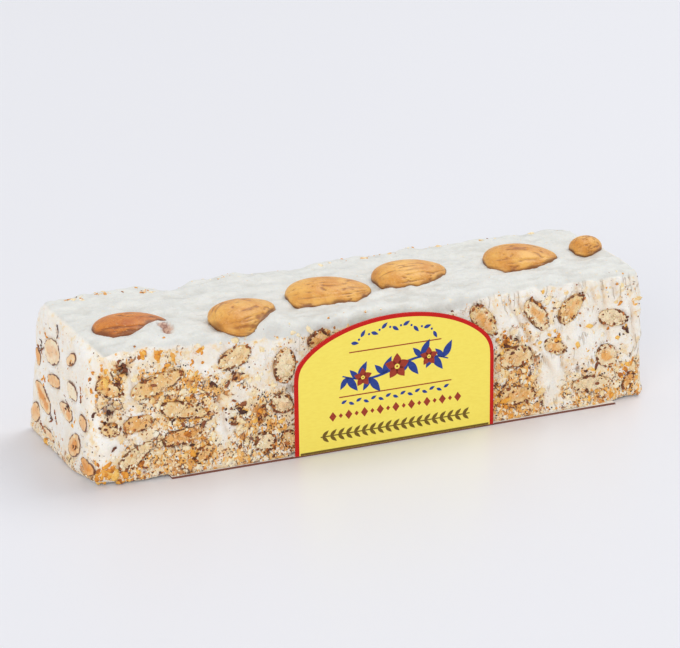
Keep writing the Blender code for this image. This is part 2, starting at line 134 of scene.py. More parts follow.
# Top: nougat smeared over the first almond, or standing off from one, as middle, reach and height
SMEARS = (
    (-58.6, -12.2, 5.2, 2.4, 2.3), (-64, -15.6, 5, 2, 0.8), (-32, -21, 4.4, 2.8, 2.2),
    (-27.5, -16.5, 3.5, 2.4, 0.8), (-43.5, -20, 4.4, 3.4, -2), (10.2, -5.8, 3, 1.6, -1.1),
    (20, -9, 4, 1.4, -0.7), (46, -7.6, 5, 1.8, -0.9), (-18, -10.5, 3, 1.6, -0.8),
    (73, -4, 2.6, 1.4, -0.8),
)

# Cut almonds in the nodes' order: how toasted the flesh is, from below 0 for pale to 1, and how orange the core
FRONT_LOOKS = (
    (0.55, 0.7), (0.4, 0.1), (0.55, 0.3), (0.3, 0.2), (0.75, 0.6), (0.1, 0.1), (0.85, 0.8), (0.5, 0.5),
    (0.2, 0.2), (0, 0), (0.9, 0.8), (0.1, 0.2), (0, 0.1), (0.4, 0.2), (0.7, 0.6), (0.35, 1), (0, 0.9),
    (0.45, 0.9), (-0.3, 0), (0.3, 0.8), (-0.1, 1), (0.3, 0.4), (0, 0), (0.7, 0.9), (0.5, 0.7),
)
LEFT_LOOKS = (
    (0.15, 0.4), (0.35, 0.1), (0.8, 0.6), (0.5, 0.2), (-0.2, 0), (0.4, 1), (0.3, 0.7), (0.45, 0.3),
    (0.5, 0.1), (0.5, 0.8), (0.2, 0.3), (1, 1),
)

# Pits in the faces: centre, reach along the face, depth, how dark the painted shade inside them is and how
# broken up that is
PITS = (
    ((-72.4, -22.4, 30.9), 2.1, 1.5, 0.9, 0.9), ((-76.9, -23, 20.6), 1.9, 1.3, 0.9, 0.9),
    ((-74.6, -23, 21.4), 1.2, 1, 0.9, 0.9), ((-42.4, -23, 11.8), 1.5, 0.9, 0.9, 0.7),
    ((-80.4, 5.6, 33.6), 1.25, 0.7, 0.7, 1), ((-57.6, -14.2, 37.4), 1.9, 1.2, 0.85, 0.1),
    ((-26, -22.6, 18.6), 1.3, 0.9, 0.9, 0.8), ((37.6, -22.8, 21.2), 1.5, 1, 0.9, 0.7),
    ((60, -23.2, 11), 1.1, 0.8, 0.9, 0.8), ((30, 24, 18), 2, 1.2, 0.9, 0.9),
    ((-48, 24, 20), 1.8, 1.1, 0.9, 0.9), ((80.8, -4, 20), 1.4, 0.8, 0.9, 0.9),
)

# Left end: clusters of dark flakes, as place along it and up, spread and number
END_CLUSTERS = (
    (-4, 16.5, 0.9, 5), (7, 9.5, 0.9, 4), (17, 25.5, 1, 5), (5, 33.6, 1, 5), (-12, 7, 1.2, 3),
)

# Left end: dark streaks as their two ends, and clusters of golden bits, each as place along it and up
END_STREAKS = (
    (20.6, 25.2, 16.8, 23.8), (-2, 18.4, -6.4, 15.6), (5.4, 11.8, 3.4, 9.4), (15.6, 4.6, 11, 3.4),
    (-13.6, 24.4, -14.4, 20.6),
)
END_GOLDEN = (
    (14.5, 16.8, 1.1, 6), (12.6, 29.8, 0.9, 5), (18.4, 22, 0.9, 5), (-8.6, 13.6, 1.1, 6),
    (11, 2.8, 2.2, 8), (-15, 15, 0.9, 4), (-5, 27.5, 0.8, 3),
)

# Top: clusters of crumbs at its back edge, as place along and across, spread and number
TOP_CLUSTERS = (
    (-71, 18.5, 1.3, 16), (-50.9, 17.4, 1, 10), (-63, 19.5, 1.5, 5), (-30, 20, 3, 6), (30, 20.5, 9, 9),
)

# Colours of the mosaic in the crumbly nougat: its chips and its finer grit
CHIP_TONES = (
    (255, 251, 238), (253, 232, 184), (246, 212, 152), (255, 248, 226), (255, 240, 202),
    (244, 184, 96), (212, 140, 66),
)
GRIT_TONES = (
    (104, 54, 24), (226, 152, 76), (254, 232, 186), (254, 238, 204), (255, 246, 222),
    (244, 190, 104), (176, 102, 44),
)

# Loose bits start this far out, along, across or up, and this share of the sawn ones is at the front
OUTSIDE = (100.0, 40.0, 60.0)
FRONT_SHARE = 0.6

# The garland on the label: the middle of its circle above the foot, its radius, and the degrees of a step
GARLAND_MIDDLE, GARLAND_RADIUS, GARLAND_STEP = 6.5, 26.0, 6.9


def linear(colour):
    """A colour given as it shows on a screen, from 0 to 255, as the shader needs it."""
    shown = np.array(colour) / 255.0
    values = np.where(shown <= 0.04045, shown / 12.92, ((shown + 0.055) / 1.055) ** 2.4)
    return (*map(float, values), 1.0)


def smooth(low, high, value):
    t = np.clip((value - low) / (high - low), 0.0, 1.0)
    return t * t * (3.0 - 2.0 * t)


def hill(u, v, middle_u, middle_v, half_u, half_v):
    """A number for each place, from 1 in the middle to 0 all round."""
    return np.exp(-(((u - middle_u) / half_u) ** 2) - ((v - middle_v) / half_v) ** 2)


def lattice_value(x, y, z, seed):
    """A number from 0 to 1 for each corner of a grid, always the same for the same corner and seed."""
    mixed = (x * 374761393 + y * 668265263 + z * 1274126177 + seed * 974634777) & 0xFFFFFFFF
    mixed = ((mixed ^ (mixed >> 13)) * 1103515245) & 0xFFFFFFFF
    mixed = ((mixed ^ (mixed >> 16)) * 668265263) & 0xFFFFFFFF
    return ((mixed ^ (mixed >> 15)) & 0xFFFF) / 65535.0


def grain(points, size, seed=0):
    """Smooth noise from -1 to 1 at points; size is the width of a lump, one for all axes or one for each."""
    scaled = points / np.asarray(size, float)
    cell = np.floor(scaled).astype(np.int64)
    t = scaled - cell
    t = t * t * (3.0 - 2.0 * t)
    total = np.zeros(len(points))
    for corner in range(8):
        step = np.array((corner & 1, corner >> 1 & 1, corner >> 2 & 1))
        weight = np.prod(np.where(step, t, 1.0 - t), axis=1)
        total += weight * lattice_value(*(cell + step).T, seed)
    return total * 2.0 - 1.0


def rough_grain(points, size, seed=0, octaves=3):
    """Noise with finer noise on top of it."""
    size = np.asarray(size, float)
    return sum(grain(points, size / 2**i, seed + i) / 1.8**i for i in range(octaves))


def frame_shift():
    """How far the CAD slid everything to put the origin under its middle, read from the card's corners."""
    low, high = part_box("card")
    back = CARD_FRONT + (CARD_BACK - CARD_FRONT) * math.cos(CARD_YAW)
    return np.array((low.x / MM - CARD_LEFT, high.y / MM - back, 0.0))


SHIFT = frame_shift()


def add_object(name, data):
    made = bpy.data.objects.new(name, data)
    bpy.context.scene.collection.objects.link(made)
    return made


def make_piece(name, points, faces, materials, attributes=None, inked=None, flat=False):
    """A mesh piece that rides on the bar. Points are in millimetres, before the shift to the middle."""
    mesh = bpy.data.meshes.new(name)
    placed = (np.asarray(points) + SHIFT) * MM
    mesh.from_pydata(placed.tolist(), [], [list(map(int, face)) for face in faces])
    for key, values in (attributes or {}).items():
        made = mesh.attributes.new(key, "FLOAT", "POINT")
        made.data.foreach_set("value", np.asarray(values, np.float32))
    for material in materials:
        mesh.materials.append(material)
    if inked is not None:
        mesh.polygons.foreach_set("material_index", np.asarray(inked, np.int32))
    mesh.polygons.foreach_set("use_smooth", np.full(len(mesh.polygons), not flat))
    mesh.update()
    piece = add_object(name, mesh)
    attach(piece, "root")
    return piece


def cad_points(node):
    """A CAD node's corners, in millimetres, before the shift."""
    return np.array([vert.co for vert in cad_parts[node].data.vertices]) / MM - SHIFT


def tree_of(*shapes):
    """The surfaces of pieces or CAD nodes, to find the nearest place on them."""
    points, faces = [], []
    for shape in shapes:
        start = len(points)
        points += [vert.co / MM - Vector(SHIFT) for vert in shape.data.vertices]
        faces += [[start + index for index in face.vertices] for face in shape.data.polygons]
    return BVHTree.FromPolygons(points, faces)


def point_tree(points):
    """A search tree that finds the nearest of some points."""
    tree = KDTree(len(points))
    for index, place in enumerate(points):
        tree.insert(place, index)
    tree.balance()
    return tree


# Materials


class Flow:
    """What comes out of a node. It can be added to, taken from or multiplied with another one."""

    def __init__(self, paint, socket):
        self.paint, self.socket = paint, socket

    def __add__(self, other):
        return self.paint.math("ADD", self, other)

    def __sub__(self, other):
        return self.paint.math("SUBTRACT", self, other)

    def __mul__(self, other):
        return self.paint.math("MULTIPLY", self, other)


class Paint:
    """A Principled material built up from node to node. Its noises have their sizes in millimetres."""

    def __init__(self, name, roughness, **sockets):
        self.material = bpy.data.materials.new(name)
        self.material.use_nodes = True
        self.tree = self.material.node_tree
        self.shader = self.tree.nodes["Principled BSDF"]
        for key, value in {"Roughness": roughness, **sockets}.items():
            self.shader.inputs[key.replace("_", " ")].default_value = value
        self.place = self.add("ShaderNodeTexCoord", "Object")

    def feed(self, socket, value):
        if isinstance(value, Flow):
            self.tree.links.new(value.socket, socket)
        else:
            socket.default_value = linear(value) if socket.type == "RGBA" else value

    def add(self, kind, output, settings=None, **inputs):
        made = self.tree.nodes.new(kind)
        for key, value in (settings or {}).items():
            setattr(made, key, value)
        for key, value in inputs.items():
            self.feed(made.inputs[key.replace("_", " ")], value)
        return Flow(self, made.outputs[output])

    def math(self, operation, *values, kind="ShaderNodeMath"):
        made = self.add(kind, 0, {"operation": operation})
        for socket, value in zip(made.socket.node.inputs, values):
            self.feed(socket, value)
        return made

    def scaled(self, size, seed=0.0, warp=0.0):
        """The place, measured in lumps of this size along each axis, and bent a little by a warp."""
        scale = [1.0 / (value * MM) for value in np.broadcast_to(size, 3)]
        moved = (seed, seed * 1.7, seed * 0.6)
        where = self.add("ShaderNodeMapping", 0, Vector=self.place, Scale=scale, Location=moved)
        if warp:
            swirl = self.add("ShaderNodeTexNoise", "Color", Vector=where, Scale=0.9, Detail=2.0)
            where = self.math("MULTIPLY_ADD", swirl, (warp,) * 3, where, kind="ShaderNodeVectorMath")
        return where

    def noise(self, size, seed=0.0, detail=2.0, roughness=0.55):
        inputs = {"Scale": 1.0, "Detail": detail, "Roughness": roughness}
        return self.add("ShaderNodeTexNoise", 0, Vector=self.scaled(size, seed), **inputs)

    def mosaic(self, feature, size, seed, warp):
        where = self.scaled(size, seed, warp)
        return self.add("ShaderNodeTexVoronoi", "Distance", {"feature": feature}, Vector=where, Scale=1.0)

    def cells(self, size, seed=0.0, warp=0.0):
        """How far a place is from the middle of its cell, and the cell's own colour."""
        far = self.mosaic("F1", size, seed, warp)
        return far, Flow(self, far.socket.node.outputs["Color"])

    def edges(self, size, seed=0.0, warp=0.0):
        """How far a place is from the edge of its cell."""
        return self.mosaic("DISTANCE_TO_EDGE", size, seed, warp)

    def ramp(self, value, colours):
        """Colours one after another, evenly spaced from 0 to 1."""
        made = self.add("ShaderNodeValToRGB", 0, Fac=value)
        bands = made.socket.node.color_ramp.elements
        while len(bands) < len(colours):
            bands.new(0.5)
        for index, (band, colour) in enumerate(zip(bands, colours)):
            band.position = index / (len(colours) - 1)
            band.color = linear(colour)
        return made

    def between(self, value, low, high, start=0.0, end=1.0):
        """Smoothly from start, where the value is low, to end, where it is high."""
        ranges = {"From_Min": low, "From_Max": high, "To_Min": start, "To_Max": end}
        settings = {"interpolation_type": "SMOOTHSTEP"}
        return self.add("ShaderNodeMapRange", 0, settings, Value=value, **ranges)

    def mix(self, share, first, second, blend="MIX"):
        made = self.add("ShaderNodeMix", 2, {"data_type": "RGBA", "blend_type": blend})
        for index, value in ((0, share), (6, first), (7, second)):
            self.feed(made.socket.node.inputs[index], value)
        return made

    def attribute(self, name):
        return self.add("ShaderNodeAttribute", "Fac", {"attribute_name": name})

    def finish(self, colour, height, depth, strength=1.0):
        """Puts the colour and the relief on the shader, and gives the material."""
        self.feed(self.shader.inputs["Base Color"], colour)
        made = self.add("ShaderNodeBump", 0, Height=height, Distance=depth * MM, Strength=strength)
        self.feed(self.shader.inputs["Normal"], made)
        return self.material


def nougat_material():
    """White nougat. Where it is crumbly it turns into a mosaic of chopped almond, with dots and cracks.
    Creases, scrapes, low places and the insides of pits get painted shade.
    """
    radius = (1.0, 0.8, 0.6)
    paint = Paint("nougat", 0.55, Subsurface_Weight=0.12, Subsurface_Scale=0.002, Subsurface_Radius=radius)
    names = ("crumb", "top", "pit_shade", "low", "drag", "stain", "scrape")
    crumb, top, pit_shade, low, drag, stained, scrape = map(paint.attribute, names)
    cloud = paint.noise(5, 1, 3)
    warm = paint.mix(paint.between(cloud, 0.35, 0.65), (252, 247, 238), (248, 238, 222))
    cool = paint.mix(paint.between(cloud, 0.3, 0.7), (231, 230, 223), (222, 221, 214))
    spread = paint.noise(2.6, 3, 3, 0.65) + crumb * 0.40
    tinted = paint.mix(paint.between(spread, 0.62, 0.84), paint.mix(top, warm, cool), (248, 222, 178))

    # The mosaic: coarse chips and finer grit, with dark seams between the chips
    _, chip = paint.cells(2.1, 8, 1)
    edge = paint.edges(2.1, 8, 1)
    _, grit = paint.cells(0.85, 33, 0.7)
    coarse = paint.ramp(paint.between(chip, 0.22, 0.78), CHIP_TONES)
    gritty = paint.ramp(paint.between(grit, 0.18, 0.82), GRIT_TONES)
    picked = paint.between(paint.noise(1, 45), 0.46, 0.58, 0.05, 0.60)
    shown = paint.between(paint.noise(3, 13, 3, 0.65) + crumb * 0.44, 0.75, 0.85)
    mosaic = paint.mix(shown * 0.94, tinted, paint.mix(picked, coarse, gritty))
    seam = paint.between(edge, 0.11, 0.04) * shown
    some = paint.between(paint.noise(1.6, 41, 1), 0.43, 0.52)
    seamed = paint.mix(seam * (some * 0.85), mosaic, (88, 42, 18))

    # Orange smears and brown spots
    smear = paint.noise((1.2, 1.2, 2), 9, 2, 0.7) + crumb * 0.20 + stained * 0.26
    smeared = paint.mix(paint.between(smear, 0.71, 0.79), seamed, (244, 178, 84))
    burnt = paint.noise(0.8, 15, 2, 0.6) + crumb * 0.15
    browned = paint.mix(paint.between(burnt, 0.75, 0.79), smeared, (150, 80, 32))

    # Creases and scrapes from the cut, with painted shade along them and in the low places
    wave = paint.math("ABSOLUTE", paint.noise((2.4, 20, 9), 25, 2, 0.5) - 0.5)
    crease = paint.between(wave, 0.030, 0.006) * paint.between(paint.noise(6, 27, 1), 0.52, 0.62) * drag
    # Painted shade: a grey-tan tint along the creases, then along the scrapes
    crease_shaded = paint.mix(crease * 0.45, browned, (214, 186, 150))
    scrape_shaded = paint.mix(scrape * 0.5, crease_shaded, (214, 180, 138))
    # Painted shade in the low places of the relief: warm on the sawn faces, grey on top
    shade = paint.mix(top, (230, 208, 182), (231, 229, 226))
    sunken = paint.mix(low * 0.5, scrape_shaded, shade, "MULTIPLY")

    # Dark dots in clusters, and painted shade inside the pits
    far, chance = paint.cells(0.85, 2)
    clustered = paint.between(paint.noise(4.5, 57), 0.38, 0.60, 0.45, 0.95)
    dot = paint.math("LESS_THAN", chance, (crumb - 0.10) * clustered) * paint.between(far, 0.32, 0.20)
    dot_colour = paint.mix(paint.between(paint.noise(2, 71, 1), 0.5, 0.62), (58, 26, 10), (176, 92, 32))
    dotted = paint.mix(dot, sunken, dot_colour)
    # Painted shade inside the pits, browner on the sawn faces than on top
    patch = paint.between(paint.noise(0.9, 61), 0.42, 0.58)
    side_pit = paint.mix(patch, (66, 34, 18), (158, 96, 48))
    top_pit = paint.mix(patch, (150, 84, 52), (214, 164, 132))
    colour = paint.mix(pit_shade, dotted, paint.mix(top, side_pit, top_pit))

    height = paint.noise(0.7, 5, 3, 0.6) + paint.noise((3.5, 2.4, 2.4), 7, 3, 0.6) + edge * shown * 1.8
    return paint.finish(colour, height - crease * 1.4 - dot * 0.8, 0.26, 0.9)


def cut_almond_material(name, tones, orange, skin, crumbly):
    """Cut almond: a thin, broken line of skin round it, and flesh that is more toasted towards its core."""
    paint = Paint(name, 0.5, Subsurface_Weight=0.08, Subsurface_Scale=0.001)
    rim, tone, middle, core, wall = map(paint.attribute, ("rim", "tone", "middle", "core", "wall"))
    soft = (paint.noise(2.6, 8, 3, 0.6) - 0.5) * 1.1
    heart = paint.between(middle + soft * 1.3, 0.25, 0.75) * core
    toasted = paint.mix(heart, paint.ramp(tone + soft, tones), orange)

    size = 1.2 if crumbly else 2.6
    _, chip = paint.cells(size, 3, 0.9)
    edge = paint.edges(size, 3, 0.9)
    shade = paint.ramp(chip, ((255, 242, 210), (238, 198, 136), (208, 152, 86)))
    gritty = paint.mix(0.42 if crumbly else 0.16, toasted, shade)
    crack = paint.between(edge, 0.07, 0.01) * paint.between(paint.noise(2, 51, 1), 0.5, 0.6)
    cracked = paint.mix(crack * (0.7 if crumbly else 0.25), gritty, (150, 92, 44))
    fleck = paint.between(paint.noise(0.55, 21), 0.66, 0.72)
    flecked = paint.mix(fleck * (0.6 if crumbly else 0.15), cracked, (120, 66, 30))

    wobble = paint.noise(1.1, 4, 3) - 0.5
    if crumbly:
        ring = paint.between(rim + wobble * 0.7, 0.30, 0.12)
        broken = paint.between(paint.noise(3.6, 31, 1), 0.46, 0.54)
    else:
        ring = paint.between(rim + wobble * 0.25, 0.26, 0.10)
        broken = paint.between(paint.noise(3.2, 31), 0.30, 0.40)
    skinned = paint.mix(ring * broken, flecked, skin)
    stuck = (206, 160, 104) if crumbly else (244, 236, 222)
    colour = paint.mix(wall * (0.5 if crumbly else 0.95), skinned, stuck)
    return paint.finish(colour, edge * 1.4 + paint.noise(0.6, 2), 0.22 if crumbly else 0.05, 0.9)


def skin_material(name, light, dark, crack):
    """The toasted skin of a whole almond: grooves along it, darker than the ridges between them."""
    paint = Paint(name, 0.42, Coat_Weight=0.06, Coat_Roughness=0.35)
    groove, tip_and_contact_shade = paint.attribute("groove"), paint.attribute("tip_and_contact_shade")
    ground = paint.mix(paint.between(paint.noise(5, 2, 3), 0.3, 0.7), light, dark)
    grooved = paint.mix(paint.between(groove, 0.35, 0.9) * 0.75, ground, crack)
    specks = paint.between(paint.noise(0.5, 6), 0.58, 0.70)
    speckled = paint.mix(specks * 0.34, grooved, (240, 198, 138))
    streaks = paint.between(paint.noise(0.9, 16, 3, 0.7), 0.52, 0.66)
    streaked = paint.mix(streaks * 0.22, speckled, crack)
    # Darker toasted tips, and painted shade where the almond lies on the nougat
    colour = paint.mix(tip_and_contact_shade * 0.9, streaked, (104, 52, 18))
    return paint.finish(colour, paint.noise(0.45, 1) + groove * -1.5, 0.18, 0.8)


def crumb_material(name, colours, chip_size):
    """Loose bits: each has its own tone, picks its colour from a few, and has chips of a shade near it."""
    paint = Paint(name, 0.55)
    far, chip = paint.cells(chip_size, 6, 0.9)
    colour = paint.ramp(paint.attribute("tone") + (chip - 0.5) * 0.5, colours)
    return paint.finish(colour, paint.noise(0.35, 1) + far, 0.12)


def print_material(name, colour, second):
    """Ink on card: a faint mottle of the paper under it, with a low sheen."""
    paint = Paint(name, 0.5, Specular_IOR_Level=0.25)
    fibre = paint.noise((1.6, 1.6, 0.5), 2, 3)
    mottled = paint.mix(paint.between(fibre, 0.3, 0.75), colour, second)
    return paint.finish(mottled, paint.noise(0.4, 5), 0.012)


def paper_material():
    """The bare card: white, but brown on its underside, and the same brown on its edges as painted shadow,
    which shows as a thin line.
    """
    paint = Paint("card_paper", 0.6)
    height = paint.add("ShaderNodeSeparateXYZ", "Z", Vector=paint.place)
    fibre = paint.noise((0.8, 0.8, 0.3), 2, 3)
    white = paint.mix(fibre, (250, 247, 240), (238, 232, 222))
    # Brown below the top face: the underside, and painted shadow on the edges
    colour = paint.mix(paint.between(height, 0.00040, 0.00038), white, (116, 64, 48))
    return paint.finish(colour, fibre, 0.02)


# The nougat


def box_grid(spans, pitch):
    """Points and quads of a box from -1 to 1, with cells of about the same pitch on every side."""
    counts = [max(2, round(span / pitch)) for span in spans]
    quads = []
    for axis in range(3):
        u, v = (axis + 1) % 3, (axis + 2) % 3
        i, j = np.meshgrid(np.arange(counts[u]), np.arange(counts[v]), indexing="ij")
        for side in (0, counts[axis]):
            corners = []
            for du, dv in ((0, 0), (1, 0), (1, 1), (0, 1)):
                corner = np.empty(i.shape + (3,), int)
                corner[..., axis], corner[..., u], corner[..., v] = side, i + du, j + dv
                corners.append(corner.reshape(-1, 3))
            quad = np.stack(corners, 1)
            quads.append(quad if side else quad[:, ::-1])
    corners = np.concatenate(quads)
    grid, index = np.unique(corners.reshape(-1, 3), axis=0, return_inverse=True)
    return grid / np.array(counts) * 2.0 - 1.0, index.reshape(-1, 4)


def bar_surface(unit):
    """The bar's plain form at points of the box: where they lie, and which way is out."""
    t = (unit[:, 2] + 1.0) / 2.0
    height = BAR_HEIGHT * t
    left = -(BASE_LEFT + (TOP_LEFT - BASE_LEFT) * t)
    right = BASE_RIGHT + (TOP_RIGHT - BASE_RIGHT) * t
    front = -(BASE_FRONT + (TOP_FRONT - BASE_FRONT) * t)
    back = BASE_BACK + (TOP_BACK - BASE_BACK) * t
    floor, roof = np.full_like(t, BAR_FLOOR), np.full_like(t, BAR_TOP)
    low, high = np.column_stack((left, front, floor)), np.column_stack((right, back, roof))
    box = low + (high - low) * (unit + 1.0) / 2.0
    box[:, 2] = BAR_FLOOR + height
    worn = smooth(TOP_LEFT - 14.0, TOP_LEFT, -box[:, 0]) * smooth(8.0, 20.0, -box[:, 1])
    side = SIDE_RADIUS + (SAWN_CORNER_RADIUS - SIDE_RADIUS) * worn
    base = FLOOR_RADIUS + 3.5 * worn
    radius = (base + (side - base) * smooth(0.0, 9.0, height))[:, None]
    inner = np.clip(box, low + radius, high - radius)
    out = box - inner
    reach = np.linalg.norm(out, axis=1, keepdims=True)
    point = inner + out / np.maximum(reach, 1e-9) * np.minimum(reach, radius)
    outward = point - np.clip(box, low + WEAR_DEPTH, high - WEAR_DEPTH)
    outward /= np.maximum(np.linalg.norm(outward, axis=1, keepdims=True), 1e-9)
    return point, outward


def cad_relief(point, outward):
    """The swells and chips that the CAD has too."""
    swell = np.array([noise.noise(Vector(p)) for p in point / RELIEF_SIZE])
    moved = point / (RELIEF_SIZE * 0.45) + (7.3, 1.9, 4.1)
    lump = np.array([noise.noise(Vector(p)) for p in moved])
    most = END_RELIEF * np.abs(outward[:, 0]) + SAWN_RELIEF * np.abs(outward[:, 1])
    most += TOP_RELIEF * np.maximum(0.0, outward[:, 2])
    relief = most * (0.75 * swell + 0.55 * lump) * smooth(0.0, 3.0, point[:, 2] - BAR_FLOOR)
    for centre, reach, depth in CHIPS:
        far = np.linalg.norm(point - centre, axis=1) / reach
        relief -= depth * np.exp(-far * far)
    return relief


def along_sawn(point):
    """How far along the sawn front a place is. The back is the same, the other way round."""
    return np.where(point[:, 1] < 0.0, point[:, 0], -point[:, 0])


def crumbliness(along, height):
    """How crumbly the sawn face is, from 0 to 1."""
    amount = 0.28 + 0.18 * smooth(12, 2, height) + 0.06 * smooth(0, 40, along)
    for *place, more in CRUMBLY:
        amount = amount + more * hill(along, height, *place)
    return np.clip(amount, 0.0, 1.0)


def stain(along, height):
    """How much an orange smear covers the sawn face, from 0 to 1."""
    return np.max([strength * hill(along, height, *place) for *place, strength in STAINS], axis=0)


def face_shares(unit, point):
    """How much each place of the box belongs to the sawn faces, to the ends and to the top.

    The top is rolled over its long edges, more so in the middle, and the sawn faces start below that.
    """
    from_sawn = (1.0 - np.abs(unit[:, 1])) * (BASE_FRONT + BASE_BACK) / 2.0
    from_end = (1.0 - np.abs(unit[:, 0])) * (BASE_LEFT + BASE_RIGHT) / 2.0
    from_top = (1.0 - unit[:, 2]) * BAR_HEIGHT / 2.0
    along = along_sawn(point)
    rolled = 1.5 * smooth(-64, -48, along) + 1.6 * smooth(-46, -24, along) - 2.9 * smooth(20, 34, along)
    above = point[:, 2] + 0.6 * grain(point, 2.2, 95) - (BAR_TOP - 1.2 - rolled)
    sawn = smooth(0.9, 0.1, from_sawn) * smooth(0.5, -0.4, above)
    end = smooth(1.8, 0.4, from_end) * (1.0 - sawn)
    top = smooth(8.0, 6.0, from_top) * (1.0 - sawn) * (1.0 - end)
    return sawn, end, top


def fine_relief(point, sawn, end, top, crumb):
    """What the CAD leaves out: the torn grain of the sawn faces, drag marks, and ripples on top."""
    torn = 0.24 * rough_grain(point, 2.6, 3) + crumb * 0.34 * rough_grain(point, 1.5, 11)
    slanted = point + np.outer(point[:, 2], (0.25, 0.0, 0.0))
    ridges = 1.0 - 2.0 * np.abs(grain(slanted, (2.2, 30.0, 12.0), 21))
    dragged = 0.46 * ridges * smooth(-20, 45, point[:, 0])
    rippled = 0.42 * rough_grain(point, (6.0, 3.4, 4.0), 31) + 0.15 * rough_grain(point, 1.6, 41, 2)
    cut = 0.09 * rough_grain(point, 3.0, 51)
    return sawn * (torn + dragged * (1.0 - 0.6 * crumb)) + top * rippled + end * cut


def scraped(along, height):
    """How far each place of the sawn face is scraped away, and how much painted shade it gets along the scrape,
    from 0 to 1.
    """
    depth, share = np.zeros_like(along), np.zeros_like(along)
    sway = 0.5 * grain(np.column_stack((along, height, along)), 3.0, 97)
    bent = np.column_stack((along + sway, height))
    for x0, z0, x1, z1, half, deep in SCRAPES:
        way = np.array((x1 - x0, z1 - z0))
        t = np.clip((bent - (x0, z0)) @ way / (way @ way), 0.0, 1.0)
        far = np.linalg.norm(bent - (x0, z0) - t[:, None] * way, axis=1) / half
        line = np.exp(-far * far) * np.sin(math.pi * np.clip(t * 0.9 + 0.08, 0.0, 1.0)) ** 0.5
        depth, share = np.maximum(depth, deep * line), np.maximum(share, line)
    return depth, share


def seat_share(point, outward, nodes):
    """How much of a seat each place is, from 0 to 1: 1 where a cut almond lies just under it."""
    tree = tree_of(*(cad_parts[node] for node in nodes))
    result = np.zeros(len(point))
    for index, place in enumerate(point - outward * 0.7):
        near, normal, _, distance = tree.find_nearest(Vector(place), 3.0)
        if near is not None:
            inside = math.copysign(distance, (near - Vector(place)).dot(normal))
            result[index] = smooth(-0.35, 0.15, inside)
    return result


def rise_at_almonds(point, nodes):
    """How far the nougat is drawn up round the whole almonds on top."""
    rise = np.zeros(len(point))
    for node in nodes:
        cad = cad_points(node)
        tree = point_tree(cad)
        near = np.linalg.norm(point[:, :2] - cad.mean(0)[:2], axis=1) < 18.0
        near &= point[:, 2] > BAR_TOP - 6.0
        for index in np.flatnonzero(near):
            distance = tree.find(point[index])[2]
            rise[index] = max(rise[index], math.exp(-((distance / 2.2) ** 2)))
    return rise


def make_nougat(cut_nodes, top_nodes, material):
    """The bar: the CAD's form with torn faces, pits, smears round the almonds and a foot on the card."""
    spans = (BASE_LEFT + BASE_RIGHT, BASE_FRONT + BASE_BACK, BAR_HEIGHT)
    unit, quads = box_grid(spans, NOUGAT_PITCH)
    point, outward = bar_surface(unit)
    x, y, z = point.T
    along = along_sawn(point)
    sawn, end, top = face_shares(unit, point)
    low_corner = smooth(9, 2, z) * 0.35 + smooth(-12, -21, y) * 0.25
    crumb = np.clip(crumbliness(along, z) * sawn + end * (0.20 + low_corner), 0.0, 1.0)
    fine = fine_relief(point, sawn, end, top, crumb)
    scrape_depth, scrape_share = scraped(along, z)
    lift = cad_relief(point, outward) + fine * smooth(0.3, 3.0, z) - scrape_depth * sawn

    # Painted shade inside the pits: darkest in their middles, broken up by gaps
    pit_shade = np.zeros(len(point))
    ragged = 1.0 + 0.35 * rough_grain(point, 1.6, 61)
    gaps = 1.0 - smooth(-0.5, 0.3, grain(point, 1.1, 71))
    for centre, reach, depth, dark, broken in PITS:
        far = np.linalg.norm((point - centre) * (1.0, 0.7, 1.0), axis=1)
        dent = np.exp(-((far / (reach * ragged)) ** 4))
        lift -= depth * dent
        pit_shade = np.maximum(pit_shade, dark * smooth(0.35, 0.8, dent) * (1.0 - broken * gaps))

    upward = smooth(0.4, 0.9, outward[:, 2])
    lift += 0.3 * rise_at_almonds(point, top_nodes) * upward * (0.6 + 0.5 * grain(point, 4.0, 91))
    for *place, rise in SMEARS:
        lift += rise * hill(x, y, *place) * upward

    on_card = smooth(CARD_LEFT - 1.0, CARD_LEFT + 2.0, x) * smooth(CARD_RIGHT + 6.0, CARD_RIGHT - 8.0, x)
    behind_label = smooth(LABEL_LEFT - 2.0, LABEL_LEFT, x) * smooth(LABEL_RIGHT + 2.0, LABEL_RIGHT, x)
    foot = smooth(4.5, 1.2, z) * smooth(0.2, 0.7, -outward[:, 1]) * on_card * (1.0 - behind_label)
    lift += (0.9 + 0.012 * (x - CARD_LEFT)) * foot
    seat = seat_share(point, outward, cut_nodes)
    placed = point + outward * (lift * (1.0 - seat) - seat)[:, None]

    overhang = smooth(2.0, 9.0, np.maximum(CARD_LEFT - x, x - CARD_RIGHT))
    overhang = np.maximum(overhang, smooth(0.3, 2.0, y - CARD_BACK))
    placed[:, 2] -= END_SAG * overhang * (1.0 - smooth(0, 12, z - BAR_FLOOR))
    placed[:, 2] -= 0.5 * foot * smooth(2.6, 0.9, z)
    lowest = 0.12 + 0.32 * on_card * smooth(CARD_BACK + 0.5, CARD_BACK - 0.5, y)
    placed[:, 2] = np.maximum(placed[:, 2], lowest)
    attributes = {
        "crumb": crumb,
        "top": top,
        "pit_shade": pit_shade,
        # Where painted shade goes: the low places of the fine relief
        "low": smooth(-0.02, -0.42, fine) * (1.0 - seat),
        "scrape": scrape_share * sawn * (1.0 - seat),
        "drag": sawn * (0.35 + 0.65 * smooth(-20, 45, x)),
        "stain": stain(along, z) * sawn,
    }
    piece = make_piece("nougat_bar", placed, quads, [material], attributes)
    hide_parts("nougat")
    return piece


# Almonds


